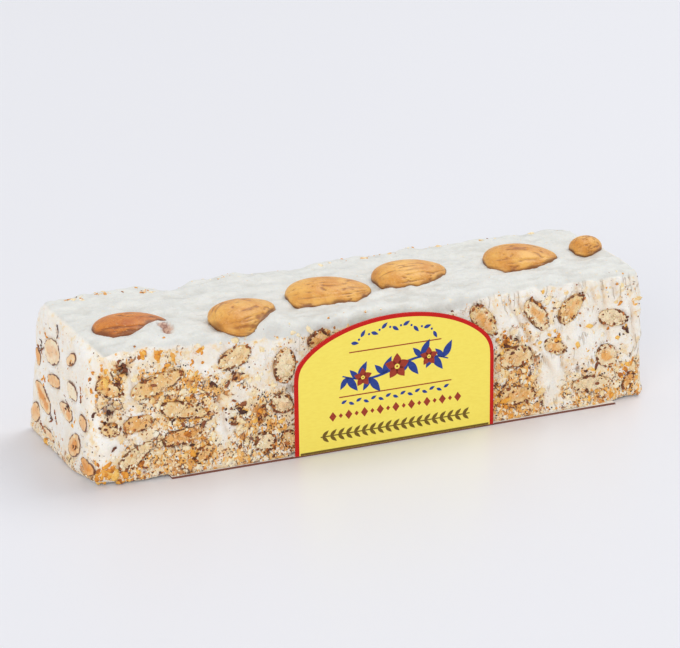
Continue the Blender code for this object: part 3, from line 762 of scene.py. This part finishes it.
def remeshed(node):
    """A CAD node's mesh with small even faces, as points and faces in the CAD's own millimetres."""
    copy = add_object("working_copy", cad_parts[node].data.copy())
    even = copy.modifiers.new("even", "REMESH")
    even.mode = "VOXEL"
    even.voxel_size = NUT_VOXEL * MM
    rounded = copy.modifiers.new("rounded", "SMOOTH")
    rounded.factor = 0.5
    rounded.iterations = 4
    shown = copy.evaluated_get(bpy.context.evaluated_depsgraph_get()).to_mesh()
    points = np.empty(len(shown.vertices) * 3)
    shown.vertices.foreach_get("co", points)
    faces = [tuple(face.vertices) for face in shown.polygons]
    mesh = copy.data
    bpy.data.objects.remove(copy)
    bpy.data.meshes.remove(mesh)
    return points.reshape(-1, 3) / MM - SHIFT, faces


def face_planes():
    """The bar's faces and its worn corner, a little proud of the nougat, as points and outward normals."""
    worn = SAWN_CORNER_RADIUS * (math.sqrt(2.0) - 1.0)
    planes = (
        ((0.0, -BASE_FRONT, BAR_FLOOR), (0.0, -1.0, (BASE_FRONT - TOP_FRONT) / BAR_HEIGHT), 0.0),
        ((0.0, BASE_BACK, BAR_FLOOR), (0.0, 1.0, (BASE_BACK - TOP_BACK) / BAR_HEIGHT), 0.0),
        ((-BASE_LEFT, 0.0, BAR_FLOOR), (-1.0, 0.0, (BASE_LEFT - TOP_LEFT) / BAR_HEIGHT), 0.0),
        ((BASE_RIGHT, 0.0, BAR_FLOOR), (1.0, 0.0, (BASE_RIGHT - TOP_RIGHT) / BAR_HEIGHT), 0.0),
        ((-BASE_LEFT, -BASE_FRONT, BAR_FLOOR), (-1.0, -1.0, -0.06), worn),
    )
    made = []
    for place, normal, inset in planes:
        normal = np.array(normal) / np.linalg.norm(normal)
        made.append((place + normal * (NUT_PROUD - inset), normal))
    return made


def make_cut_almonds(name, nodes, material, ragged, sink, looks, rims):
    """All the cut almonds of one face, each from its own CAD node: finer, and more or less ragged.

    Looks holds how toasted each one is, and rims gathers places along their edges for crumbs.
    """
    planes = face_planes()
    skin_depth = 0.55
    rng = np.random.default_rng(SEED + len(nodes))
    all_points, all_faces = [], []
    values = {"rim": [], "tone": [], "middle": [], "core": [], "wall": []}
    for number, node in enumerate(nodes):
        points, faces = remeshed(node)
        depths = np.array([(place - points) @ normal for place, normal in planes])
        depth = depths.min(0)
        tree = point_tree(points[depth > skin_depth])
        rim = np.array([tree.find(place)[2] for place in points]) - skin_depth
        rim[depth > 0.3] = 0.0
        rim = np.maximum(rim, 0.0)
        edge = np.flatnonzero((depth < 0.25) & (rim < 0.5))
        rims += [points[index] for index in rng.choice(edge, min(len(edge), 39), replace=False)]
        seed = int(rng.integers(1000))
        wander = np.column_stack([grain(points, 1.9, seed + axis) for axis in range(3)])
        jitter = np.column_stack([grain(points, 0.8, seed + 7 + axis) for axis in range(3)])
        normals = np.array([normal for _, normal in planes])[depths.argmin(0)]
        sideways = wander * 0.45 * ragged + jitter * 0.20 * ragged
        sideways -= normals * (sideways * normals).sum(1, keepdims=True)
        broken = rough_grain(points, 1.7, seed + 20) * 0.26 * ragged
        outward = broken + cad_relief(points, normals) * 0.8 - sink
        near_face = smooth(1.6, 0.2, depth)[:, None]
        points = points + near_face * (sideways + normals * outward[:, None])
        points[:, 2] = np.maximum(points[:, 2], 0.2)
        start = len(all_points)
        all_points += list(points)
        all_faces += [tuple(start + index for index in face) for face in faces]
        tone, core = looks[number] if looks else rng.uniform(0.0, 1.0, 2)
        values["rim"] += list(rim)
        values["wall"] += list(smooth(0.16, 0.44, depth))
        values["middle"] += list(rim / max(rim.max(), 0.1))
        values["tone"] += [tone] * len(points)
        values["core"] += [core] * len(points)
    piece = make_piece(name, all_points, all_faces, [material], values)
    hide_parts(*nodes)
    return piece


def own_axes(points):
    """The middle, axes and half sizes of an almond, longest axis first and pointing to its thin end."""
    middle = (points.max(0) + points.min(0)) / 2.0
    _, axes = np.linalg.eigh(np.cov((points - points.mean(0)).T))
    axes = axes[:, ::-1].T
    if axes[1][2] < 0.0 and abs(axes[1][2]) > abs(axes[2][2]):
        axes[1] = -axes[1]
    if axes[2][2] < 0.0:
        axes[2] = -axes[2]
    local = (points - middle) @ axes.T
    halves = (local.max(0) - local.min(0)) / 2.0
    middle = middle + ((local.max(0) + local.min(0)) / 2.0) @ axes
    local = (points - middle) @ axes.T
    ahead = np.abs(local[local[:, 0] > 0.35 * halves[0], 1]).max()
    behind = np.abs(local[local[:, 0] < -0.35 * halves[0], 1]).max()
    if ahead > behind:
        axes[0] = -axes[0]
    if np.linalg.det(axes) < 0.0:
        axes[1] = -axes[1]
    return middle, axes, halves


def make_whole_almond(number, node, material, seed, thin_end, bar_tree):
    """A toasted almond in its skin: grooves run from its blunt end to its point, a little hooked."""
    rings, sides = 84, 72
    middle, axes, halves = own_axes(cad_points(node))
    t = np.linspace(0.0, 1.0, rings + 1)
    angle = np.linspace(0.0, 2.0 * math.pi, sides, endpoint=False)
    turn, around = np.meshgrid(t * math.pi, angle, indexing="ij")
    along, wide, tall = -np.cos(turn), np.cos(around), np.sin(around)

    def laid_out(long, round_it):
        return np.stack((along * long, wide * round_it, tall * round_it), -1).reshape(-1, 3)

    slim = 1.0 - thin_end * along - 0.10 * along**3
    girth = np.sin(turn) ** 0.92 * slim
    bend = 0.35 * grain(laid_out(3.0, 2.0), (2.5, 3.0, 3.0), seed).reshape(turn.shape)
    folds = rough_grain(laid_out(1.6, 3.2), (1.1, 0.62, 0.62), seed + 5, 2).reshape(turn.shape)
    groove = np.clip(1.0 - np.abs(folds) * 3.2, 0.0, 1.0) * np.sin(turn) ** 0.5
    edge = 1.0 + 0.05 * np.abs(wide) ** 6
    push = (bend * 0.05 + 1.0 - groove * 0.030) * edge
    width = girth * wide * halves[1] * push
    height = girth * tall * halves[2] * (0.94 + 0.06 * wide**2) * push
    hook = 0.05 * halves[1] * smooth(0.7, 1.0, along)
    points = middle + np.stack((along * halves[0], width + hook, height), -1).reshape(-1, 3) @ axes
    faces = []
    for i in range(rings):
        for j in range(sides):
            k = (j + 1) % sides
            faces.append((i * sides + j, i * sides + k, (i + 1) * sides + k, (i + 1) * sides + j))
    # The toasted tips are darker, and painted shade is added where the almond touches the nougat
    tip_and_contact_shade = (smooth(0.95, 1.0, along) + 0.5 * smooth(-0.97, -1.0, along)).reshape(-1)
    near = np.array([bar_tree.find_nearest(Vector(place))[3] for place in points])
    contact_shade = smooth(1.0, 0.15, near + 0.5 * grain(points, 1.8, seed + 3))
    values = {"groove": groove.reshape(-1), "tip_and_contact_shade": np.clip(tip_and_contact_shade + contact_shade * 0.9, 0.0, 1.0)}
    piece = make_piece(f"almond_whole_{number}", points, faces, [material], values)
    mesh = bmesh.new()
    mesh.from_mesh(piece.data)
    bmesh.ops.remove_doubles(mesh, verts=mesh.verts[:], dist=1e-6)
    bmesh.ops.recalc_face_normals(mesh, faces=mesh.faces[:])
    mesh.to_mesh(piece.data)
    mesh.free()
    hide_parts(node)


# Crumbs and flakes. Each place is a start outside the bar, straight out from where the bit goes


def ball(fineness):
    """A small ball, which each crumb is squeezed from."""
    mesh = bmesh.new()
    bmesh.ops.create_icosphere(mesh, subdivisions=fineness, radius=1.0)
    points = np.array([vert.co for vert in mesh.verts])
    faces = np.array([[vert.index for vert in face.verts] for face in mesh.faces])
    mesh.free()
    return points, faces


def way_in(start):
    """The way from a start outside the bar straight to it."""
    axis = int(np.argmax(np.abs(start) / OUTSIDE))
    way = Vector((0.0, 0.0, 0.0))
    way[axis] = -math.copysign(1.0, start[axis])
    return way


def either_face(x, z, front):
    """A place of the sawn front, or the same one of the back, the other way round."""
    return (x, -OUTSIDE[1], z) if front else (-x, OUTSIDE[1], z)


def sawn_places(count, rng, sharpness):
    """Random places on the two sawn faces, more of them where the face is crumbly."""
    places = []
    while len(places) < count:
        x = rng.uniform(-79.0, 79.0, 4000)
        z = rng.uniform(1.2, 34.0, 4000)
        keep = rng.uniform(0.0, 1.0, 4000) < crumbliness(x, z) ** sharpness
        places += [either_face(px, pz, rng.uniform() < FRONT_SHARE) for px, pz in zip(x[keep], z[keep])]
    return places[:count]


def gathered(clusters, rng):
    """Places in clusters of the sawn front, and the same number on the back."""
    places = []
    for x, z, spread, count in clusters:
        for front in (True, False):
            spots = rng.normal((x, z), spread * 0.7, (count, 2))
            places += [either_face(px, max(1.0, pz), front) for px, pz in spots]
    return places


def both_ends(spots):
    """Places of the left end, and the same ones of the right end."""
    left = [(-OUTSIDE[0], y, z) for y, z in spots]
    return left + [(OUTSIDE[0], -y, z) for y, z in spots]


def gathered_at_ends(clusters, rng):
    places = []
    for y, z, spread, count in clusters:
        places += both_ends(rng.normal((y, z), spread * 0.7, (count, 2)))
    return places


def streak_places(rng):
    """Dark bits in rows on the two ends."""
    places = []
    for y0, z0, y1, z1 in END_STREAKS:
        row = np.linspace((y0, z0), (y1, z1), 13)
        places += both_ends(row + rng.normal(0.0, 0.12, row.shape))
    return places


def end_places(count, rng):
    """Random places on the two ends."""
    spots = rng.uniform((-19.0, 1.5), (19.0, 33.0), (count, 2))
    sides = rng.choice((-1.0, 1.0), count)
    return [(side * OUTSIDE[0], y, z) for (y, z), side in zip(spots, sides)]


def top_places(rng):
    """Crumbs on top lie in clusters at the back edge, and a few at the front edge."""
    places = []
    for x, y, spread, count in TOP_CLUSTERS:
        places += [(px, py, OUTSIDE[2]) for px, py in rng.normal((x, y), (spread, 0.8), (count, 2))]
    for x in rng.uniform(-76.0, 78.0, 46):
        y = rng.uniform(18.5, 22.0) if rng.uniform() < 0.6 else rng.uniform(-21.5, -19.5)
        places.append((x, y, OUTSIDE[2]))
    return places


def make_bits(name, places, sizes, shape, sunk, material, surface, rng, bend=0, keep_off=None, fineness=2):
    """Bits of almond or skin on the nougat, partly sunk in it."""
    base, base_faces = ball(fineness)
    all_points, all_faces, tones = [], [], []
    for start in places:
        way = way_in(start)
        hit, normal, _, _ = surface.ray_cast(Vector(start), way)
        if hit is None or normal.dot(way) > -0.3:
            continue
        if keep_off and keep_off.find_nearest(hit, sizes[1] * 0.3)[0] is not None:
            continue
        size = rng.uniform(*sizes) * rng.uniform(0.6, 1.0) / 2.0
        points = base * np.array(shape) * size * rng.uniform(0.7, 1.3, 3)
        points *= (1.0 + 0.34 * rough_grain(base * 2.6 + rng.uniform(0, 50, 3), 1.4, 81))[:, None]
        points[:, 2] += bend * (points[:, 0] ** 2) / size
        normal = (normal * 0.5 - way).normalized()
        lie = Vector((0, 0, 1)).rotation_difference(normal).to_matrix()
        spin = Matrix.Rotation(rng.uniform(0, 2 * math.pi), 3, "Z")
        tilt = Matrix.Rotation(rng.uniform(-0.35, 0.35), 3, "X")
        turned = points @ np.array(lie @ spin @ tilt).T
        placed = turned + np.array(hit) - np.array(normal) * size * shape[2] * sunk
        placed[:, 2] = np.maximum(placed[:, 2], 0.15)
        placed[:, 1] = np.minimum(placed[:, 1], BASE_BACK + 0.5)
        first = len(all_points)
        all_points += list(placed)
        all_faces += [tuple(first + index for index in face) for face in base_faces]
        tones += [rng.uniform()] * len(base)
    make_piece(name, all_points, all_faces, [material], {"tone": tones})


def make_all_bits(surface, nuts, rims):
    """All loose bits. Their places are drawn one kind after another, from the same random numbers."""
    rng = np.random.default_rng(SEED)
    pale, light_tan, orange = (255, 247, 224), (250, 226, 172), (238, 174, 90)
    flesh = (pale, light_tan, (255, 240, 208), (246, 204, 130), (250, 226, 176), orange)
    mixed = (pale, light_tan, pale, orange, (224, 146, 60), (112, 58, 24))
    chopped = crumb_material("chopped_almond", flesh, 0.9)
    crumbs = crumb_material("crumbs", mixed, 0.5)
    flakes = crumb_material("flakes", ((66, 32, 16), (104, 52, 28), (156, 88, 46)), 0.5)
    rim_bits = crumb_material("rim_bits", ((84, 40, 18), (140, 74, 32), (206, 122, 52)), 0.5)
    golds = ((252, 206, 112), (246, 176, 62), (232, 148, 42), (176, 98, 30))
    golden = crumb_material("golden_bits", golds, 0.6)

    def bits(name, places, sizes, shape, sunk, material, **more):
        make_bits(name, places, sizes, shape, sunk, material, surface, rng, **more)

    on_top = [spot for spot in top_places(rng) if spot[1] > 0.0]
    chips = sawn_places(600, rng, 2.0) + on_top[::3]
    bits("chopped_almond", chips, (1.2, 3.3), (1.0, 0.66, 0.30), 0.45, chopped, keep_off=nuts, fineness=3)

    low = rng.uniform((-81.0, 0.6), (80.0, 2.4), (480, 2))
    foot = [either_face(x, z, rng.uniform() < FRONT_SHARE) for x, z in low]
    round_nuts = []
    for x, y, z in rims:
        near_x, near_z = x + rng.normal(0.0, 0.25), z + rng.normal(0.0, 0.25)
        round_nuts.append((near_x, math.copysign(OUTSIDE[1], y), near_z))
    places = sawn_places(1300, rng, 1.2) + foot + round_nuts[::3] + end_places(110, rng) + top_places(rng)
    bits("crumbs", places, (0.4, 1.2), (1.0, 0.8, 0.6), 0.2, crumbs)

    dark = round_nuts[1::3] + round_nuts[2::3] + streak_places(rng)
    bits("rim_bits", dark, (0.4, 1.25), (1.0, 0.7, 0.4), -0.1, rim_bits)
    gold = gathered(GOLDEN_CLUSTERS, rng) + gathered_at_ends(END_GOLDEN, rng)
    bits("golden_bits", gold, (0.8, 2.4), (1.0, 0.7, 0.5), 0.3, golden, keep_off=nuts)
    lumps = gathered(GOLDEN_LUMPS, rng)
    bits("golden_lumps", lumps, (2.0, 3.9), (1.0, 0.62, 0.28), 0.5, golden, fineness=3)
    dark = sawn_places(110, rng, 2.0) + gathered(FLAKE_CLUSTERS, rng) + gathered_at_ends(END_CLUSTERS, rng)
    bits("skin_flakes", dark, (0.7, 2.4), (1.0, 0.5, 0.12), -0.6, flakes, bend=0.25)


# The card


def evened(line, count):
    """As many places as asked, evenly spaced along a line."""
    steps = np.linalg.norm(np.diff(line, axis=0), axis=1)
    reach = np.concatenate(((0.0,), np.cumsum(steps)))
    where = np.linspace(0.0, reach[-1], count)
    return np.column_stack([np.interp(where, reach, line[:, axis]) for axis in (0, 1)])


def arch(inset=0.0, steps=72):
    """The label's outline above its fold, moved in by an inset, with its shoulders rounded off.

    It goes from bottom right over the top to bottom left, the same left and right.
    """
    middle, half = (LABEL_LEFT + LABEL_RIGHT) / 2, (LABEL_RIGHT - LABEL_LEFT) / 2
    share = math.sqrt(1.0 - 1.0 / ARCH_OVERRUN**2)
    rise = (LABEL_TOP - LABEL_SHOULDER) / (1.0 - share)
    t = np.cos(np.linspace(0.0, math.pi, steps + 1))
    drop = rise * (1.0 - np.sqrt(1.0 - (t / ARCH_OVERRUN) ** 2))
    over = np.column_stack((half * t, LABEL_TOP - drop))
    step = np.gradient(over, axis=0)
    inward = np.column_stack((-step[:, 1], step[:, 0]))
    over += inward / np.linalg.norm(inward, axis=1, keepdims=True) * inset
    side = half - inset
    over = over[np.abs(over[:, 0]) < side - 0.01]
    shoulder = np.interp(side, over[::-1, 0], over[::-1, 1])
    outline = [(side, CARD_THICKNESS), (side, shoulder), *over, (-side, shoulder), (-side, CARD_THICKNESS)]
    outline = evened(np.array(outline), 120)
    for _ in range(9):
        outline[1:-1] = (outline[:-2] + 2.0 * outline[1:-1] + outline[2:]) / 4.0
    return outline + (middle, 0.0)


def on_label(flat, proud):
    """Places of the label's plane, given along and up, in front of the card by a small amount."""
    flat = np.asarray(flat, float)
    lean = LABEL_LEAN / LABEL_TOP
    return np.column_stack((flat[:, 0], CARD_FRONT + lean * flat[:, 1] - proud, flat[:, 1]))


def yawed(points):
    """The whole card is turned a little about its front left corner."""
    pivot = np.array((CARD_LEFT, CARD_FRONT, 0.0))
    turn = np.array(Matrix.Rotation(CARD_YAW, 3, "Z"))
    return (points - pivot) @ turn.T + pivot


def make_card(paper, edge_ink):
    """The sheet itself: a flat strip and the label, whose border's ink goes over its edge."""
    outline = arch()
    front = on_label(outline, 0.0)
    back = front + np.array((0.0, CARD_THICKNESS, 0.0))
    count = len(outline)
    t = CARD_THICKNESS
    strip_x = (CARD_LEFT, LABEL_LEFT - 0.6, LABEL_LEFT, LABEL_RIGHT, LABEL_RIGHT + 0.6, CARD_RIGHT)
    leans = (EDGE_LEAN, EDGE_LEAN, 0.0, 0.0, EDGE_LEAN, EDGE_LEAN)
    under = [(x, CARD_FRONT, 0.0) for x in strip_x]
    over = [(x, CARD_FRONT + lean, t) for x, lean in zip(strip_x, leans)]
    behind = [(CARD_RIGHT, CARD_BACK, 0.0), (CARD_LEFT, CARD_BACK, 0.0)]
    above = [(CARD_RIGHT, CARD_BACK, t), (CARD_LEFT, CARD_BACK, t)]
    points = np.vstack((front, back, under, over, behind, above))
    u, o, b, a = 2 * count, 2 * count + 6, 2 * count + 12, 2 * count + 14
    faces = [list(range(count))[::-1], list(range(count, 2 * count))]
    for i in range(count - 1):
        faces.append((i, i + 1, count + i + 1, count + i))
    faces += [
        (u + 2, u + 3, 0, count - 1),
        (u, u + 1, o + 1, o),
        (u + 1, u + 2, o + 2, o + 1),
        (u + 3, u + 4, o + 4, o + 3),
        (u + 4, u + 5, o + 5, o + 4),
        (u + 5, b, a, o + 5),
        (b + 1, u, o, a + 1),
        (b, b + 1, a + 1, a),
        (*range(u + 5, u - 1, -1), b + 1, b),
        (o, o + 1, o + 2, 2 * count - 1, count, o + 3, o + 4, o + 5, a, a + 1),
    ]
    inked = [0, 0] + [1] * (count - 1) + [0] * 10
    piece = make_piece("card_sheet", yawed(points), faces, [paper, edge_ink], None, inked, True)
    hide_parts("card")
    return piece


def disc(x, z, radius, count=20):
    turn = np.linspace(0.0, 2.0 * math.pi, count, endpoint=False)
    return np.column_stack((x + radius * np.cos(turn), z + radius * np.sin(turn)))


def leaf(x, z, angle, length, width):
    """A leaf with its stalk at x, z."""
    t = np.linspace(0.0, 1.0, 10)
    half = width / 2.0 * np.sin(math.pi * t**0.8)
    shape = np.vstack((np.column_stack((t * length, half)), np.column_stack((t * length, -half))[-2:0:-1]))
    a = math.radians(angle)
    turn = np.array(((math.cos(a), -math.sin(a)), (math.sin(a), math.cos(a))))
    return shape @ turn.T + (x, z)


def ribbon(line, widths):
    """Strips along a line, thick or thin, as quads."""
    line = np.asarray(line, float)
    step = np.gradient(line, axis=0)
    side = np.column_stack((-step[:, 1], step[:, 0]))
    side /= np.linalg.norm(side, axis=1, keepdims=True)
    half = np.asarray(widths, float)[:, None] / 2.0
    one, other = line + side * half, line - side * half
    return [np.array((one[i], other[i], other[i + 1], one[i + 1])) for i in range(len(line) - 1)]


def across(outline):
    """Quads that fill an outline which is the same left and right."""
    last = len(outline) - 1
    corners = [(i, i + 1, last - i - 1, last - i) for i in range(len(outline) // 2 - 1)]
    return [np.array([outline[i] for i in quad]) for quad in corners]


def make_print(inks):
    """The label's fields and motifs: a red border, a yellow field, and a flowering branch between bands."""
    red, yellow, blue, brown, olive = range(5)
    shapes = [(quad, 0.02, red) for quad in across(arch(0.0))]
    shapes += [(quad, 0.04, yellow) for quad in across(arch(1.1))]
    middle = (LABEL_LEFT + LABEL_RIGHT) / 2

    def draw(outline, ink, proud=0.06):
        shapes.append((np.asarray(outline) + (middle, 0.0), proud, ink))

    def rule(z, reach, width, ink):
        line = np.column_stack((np.linspace(-reach, reach, 12), np.full(12, z)))
        for strip in ribbon(line, np.full(12, width)):
            draw(strip, ink)

    # A garland that follows the arch
    def on_garland(step):
        turn = math.radians(90.0 - step * GARLAND_STEP)
        x, z = GARLAND_RADIUS * math.cos(turn), GARLAND_MIDDLE + GARLAND_RADIUS * math.sin(turn)
        return x, z, math.degrees(turn) - 90.0

    for i in range(-4, 5):
        x, z, lean = on_garland(i)
        draw(leaf(x - 0.9, z, lean + (35.0 if i % 2 else -35.0), 2.3, 1.0), blue)
        if i < 4:
            x, z, _ = on_garland(i + 0.5)
            draw(disc(x, z, 0.32, 12), blue)

    # A branch with three flowers
    t = np.linspace(-1.0, 1.0, 48)
    stem = np.column_stack((t * 15.5, 21.0 + 1.9 * np.sin(t * 3.0)))
    for strip in ribbon(stem, 0.85 - 0.5 * np.abs(t)):
        draw(strip, blue)
    for i, place in enumerate((2, 7, 12, 18, 29, 35, 40, 45)):
        draw(leaf(*stem[place], 62.0 if i % 2 else -54.0, 5.2, 2.1), blue)
        draw(leaf(*stem[place], 132.0 if i % 2 else -122.0, 3.8, 1.6), blue)
    for x, z, size in ((-9.6, 19.6, 2.7), (0.4, 21.2, 3.7), (9.8, 22.6, 2.7)):
        for petal in range(5):
            draw(leaf(x, z, 90.0 + petal * 72.0, size, size * 0.66), brown, 0.08)
        draw(disc(x, z, size * 0.2), yellow, 0.10)
        draw(disc(x, z, size * 0.08, 10), brown, 0.12)

    # Bands of leaves and diamonds between lines
    rule(15.0, 16.5, 0.32, brown)
    rule(27.0, 13.5, 0.32, brown)
    for i in range(-7, 8):
        draw(leaf(i * 2.15 - 0.85, 13.2, 24.0 if i % 2 else -24.0, 1.8, 0.85), blue)
    for i in range(-8, 9):
        x, tall, wide = i * 2.3, (1.35, 0.7)[i % 2], (1.05, 0.6)[i % 2]
        draw(((x - wide, 9.9), (x, 9.9 - tall), (x + wide, 9.9), (x, 9.9 + tall)), brown)
    rule(4.7, 22.0, 0.34, olive)
    for i in range(-9, 10):
        for angle in (42.0, -42.0):
            draw(leaf(i * 2.3 - 0.8, 4.7, angle, 2.5, 0.95), olive, 0.08)
    rule(0.74, 27.8, 0.6, olive)

    points, faces, inked = [], [], []
    for outline, proud, ink in shapes:
        start = len(points)
        points += list(yawed(on_label(outline, proud)))
        faces.append(tuple(range(start, start + len(outline))))
        inked.append(ink)
    piece = make_piece("label_print", points, faces, inks, None, inked, True)
    mesh = bmesh.new()
    mesh.from_mesh(piece.data)
    for face in mesh.faces:
        face.normal_update()
        if face.normal.y > 0.0:
            face.normal_flip()
    mesh.to_mesh(piece.data)
    mesh.free()


# The stage


def make_floor():
    paint = Paint("floor", 0.34, Specular_IOR_Level=0.35)
    mesh = bpy.data.meshes.new("floor")
    size = 4.0
    corners = [(-size, -size, 0), (size, -size, 0), (size, size, 0), (-size, size, 0)]
    mesh.from_pydata(corners, [], [(0, 1, 2, 3)])
    cloudy = paint.mix(paint.noise(420, 1, 1), (236, 236, 240), (232, 231, 234))
    paint.feed(paint.shader.inputs["Base Color"], cloudy)
    mesh.materials.append(paint.material)
    add_object("floor", mesh)


def add_light(name, place, target, size, power, colour=(1.0, 1.0, 1.0)):
    light = bpy.data.lights.new(name, "AREA")
    light.shape = "RECTANGLE"
    light.size, light.size_y = size
    light.energy = power
    light.color = colour
    lamp = add_object(name, light)
    lamp.location = place
    lamp.rotation_euler = (Vector(target) - Vector(place)).to_track_quat("-Z", "Y").to_euler()


def light_scene():
    world = bpy.data.worlds.new("studio")
    world.use_nodes = True
    background = world.node_tree.nodes["Background"]
    background.inputs["Color"].default_value = (0.94, 0.96, 1.0, 1.0)
    background.inputs["Strength"].default_value = 0.72
    bpy.context.scene.world = world
    middle = (0.0, 0.0, 0.02)
    add_light("overhead", (1.5, 0.6, 2.3), middle, (1.6, 1.6), 26.0)
    add_light("front", (-2.0, -2.3, 1.4), middle, (1.8, 1.4), 34.0, (1.0, 0.98, 0.95))


def make_camera():
    """The camera fitted to the photo: its distance, and how far to the side and up it is from the bar."""
    azimuth, elevation = -0.43503, 0.33591
    distance, aside, up = 716.68, -1.33, 24.12
    focal_pixels, photo_width, sensor = 2600.0, 680.0, 36.0
    level = math.cos(elevation)
    right = Vector((math.cos(azimuth), math.sin(azimuth), 0.0))
    back = Vector((math.sin(azimuth) * level, -math.cos(azimuth) * level, math.sin(elevation)))
    upward = back.cross(right)
    place = back * distance + right * aside + upward * up + Vector(SHIFT)
    camera = bpy.data.cameras.new("camera")
    camera.sensor_width = sensor
    camera.lens = focal_pixels / photo_width * sensor
    camera.clip_start = 0.01
    holder = add_object("camera", camera)
    turn = Matrix((right, upward, back)).transposed().to_4x4()
    holder.matrix_world = Matrix.Translation(place * MM) @ turn
    bpy.context.scene.camera = holder


def main():
    faces = {}
    for face in ("front", "back", "left", "right", "top"):
        faces[face] = sorted(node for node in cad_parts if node.startswith(f"almond_{face}_"))
    cut_nodes = faces["front"] + faces["back"] + faces["left"] + faces["right"]
    bar = make_nougat(cut_nodes, faces["top"], nougat_material())

    rough_tones = ((252, 238, 204), (248, 220, 164), (242, 194, 122), (236, 162, 78))
    clean_tones = ((254, 238, 208), (252, 214, 164), (246, 190, 128), (238, 166, 84))
    sawn = cut_almond_material("almond_crumbly", rough_tones, (246, 164, 56), (112, 58, 26), True)
    clean = cut_almond_material("almond_clean", clean_tones, (234, 146, 44), (112, 60, 30), False)
    rims = []
    front = make_cut_almonds("almonds_front", faces["front"], sawn, 1.0, 0.12, FRONT_LOOKS, rims)
    back = make_cut_almonds("almonds_back", faces["back"], sawn, 1.0, 0.12, None, rims)
    left = make_cut_almonds("almonds_left", faces["left"], clean, 0.45, 0.25, LEFT_LOOKS, [])
    right = make_cut_almonds("almonds_right", faces["right"], clean, 0.45, 0.25, None, [])

    bar_tree = tree_of(bar)
    tan = skin_material("almond_skin", (242, 184, 92), (218, 146, 56), (150, 80, 26))
    red = skin_material("almond_skin_red", (220, 136, 46), (192, 102, 26), (122, 58, 14))
    thin_ends = (0.12, 0.30, 0.18, 0.18, 0.16, 0.1)
    for number, (node, thin_end) in enumerate(zip(faces["top"], thin_ends), start=1):
        make_whole_almond(number, node, red if number == 1 else tan, 40 + number * 9, thin_end, bar_tree)
    make_all_bits(tree_of(bar, front, back, left, right), tree_of(front, back, left, right), rims)

    inks = [
        print_material("ink_red", (206, 22, 12), (192, 18, 10)),
        print_material("ink_yellow", (254, 234, 104), (250, 228, 96)),
        print_material("ink_blue", (44, 70, 150), (36, 58, 134)),
        print_material("ink_brown_red", (168, 62, 40), (150, 52, 34)),
        print_material("ink_olive", (122, 96, 34), (108, 84, 30)),
    ]
    make_card(paper_material(), inks[0])
    make_print(inks)

    make_floor()
    light_scene()
    make_camera()
    bpy.context.scene.view_settings.view_transform = "Standard"


main()
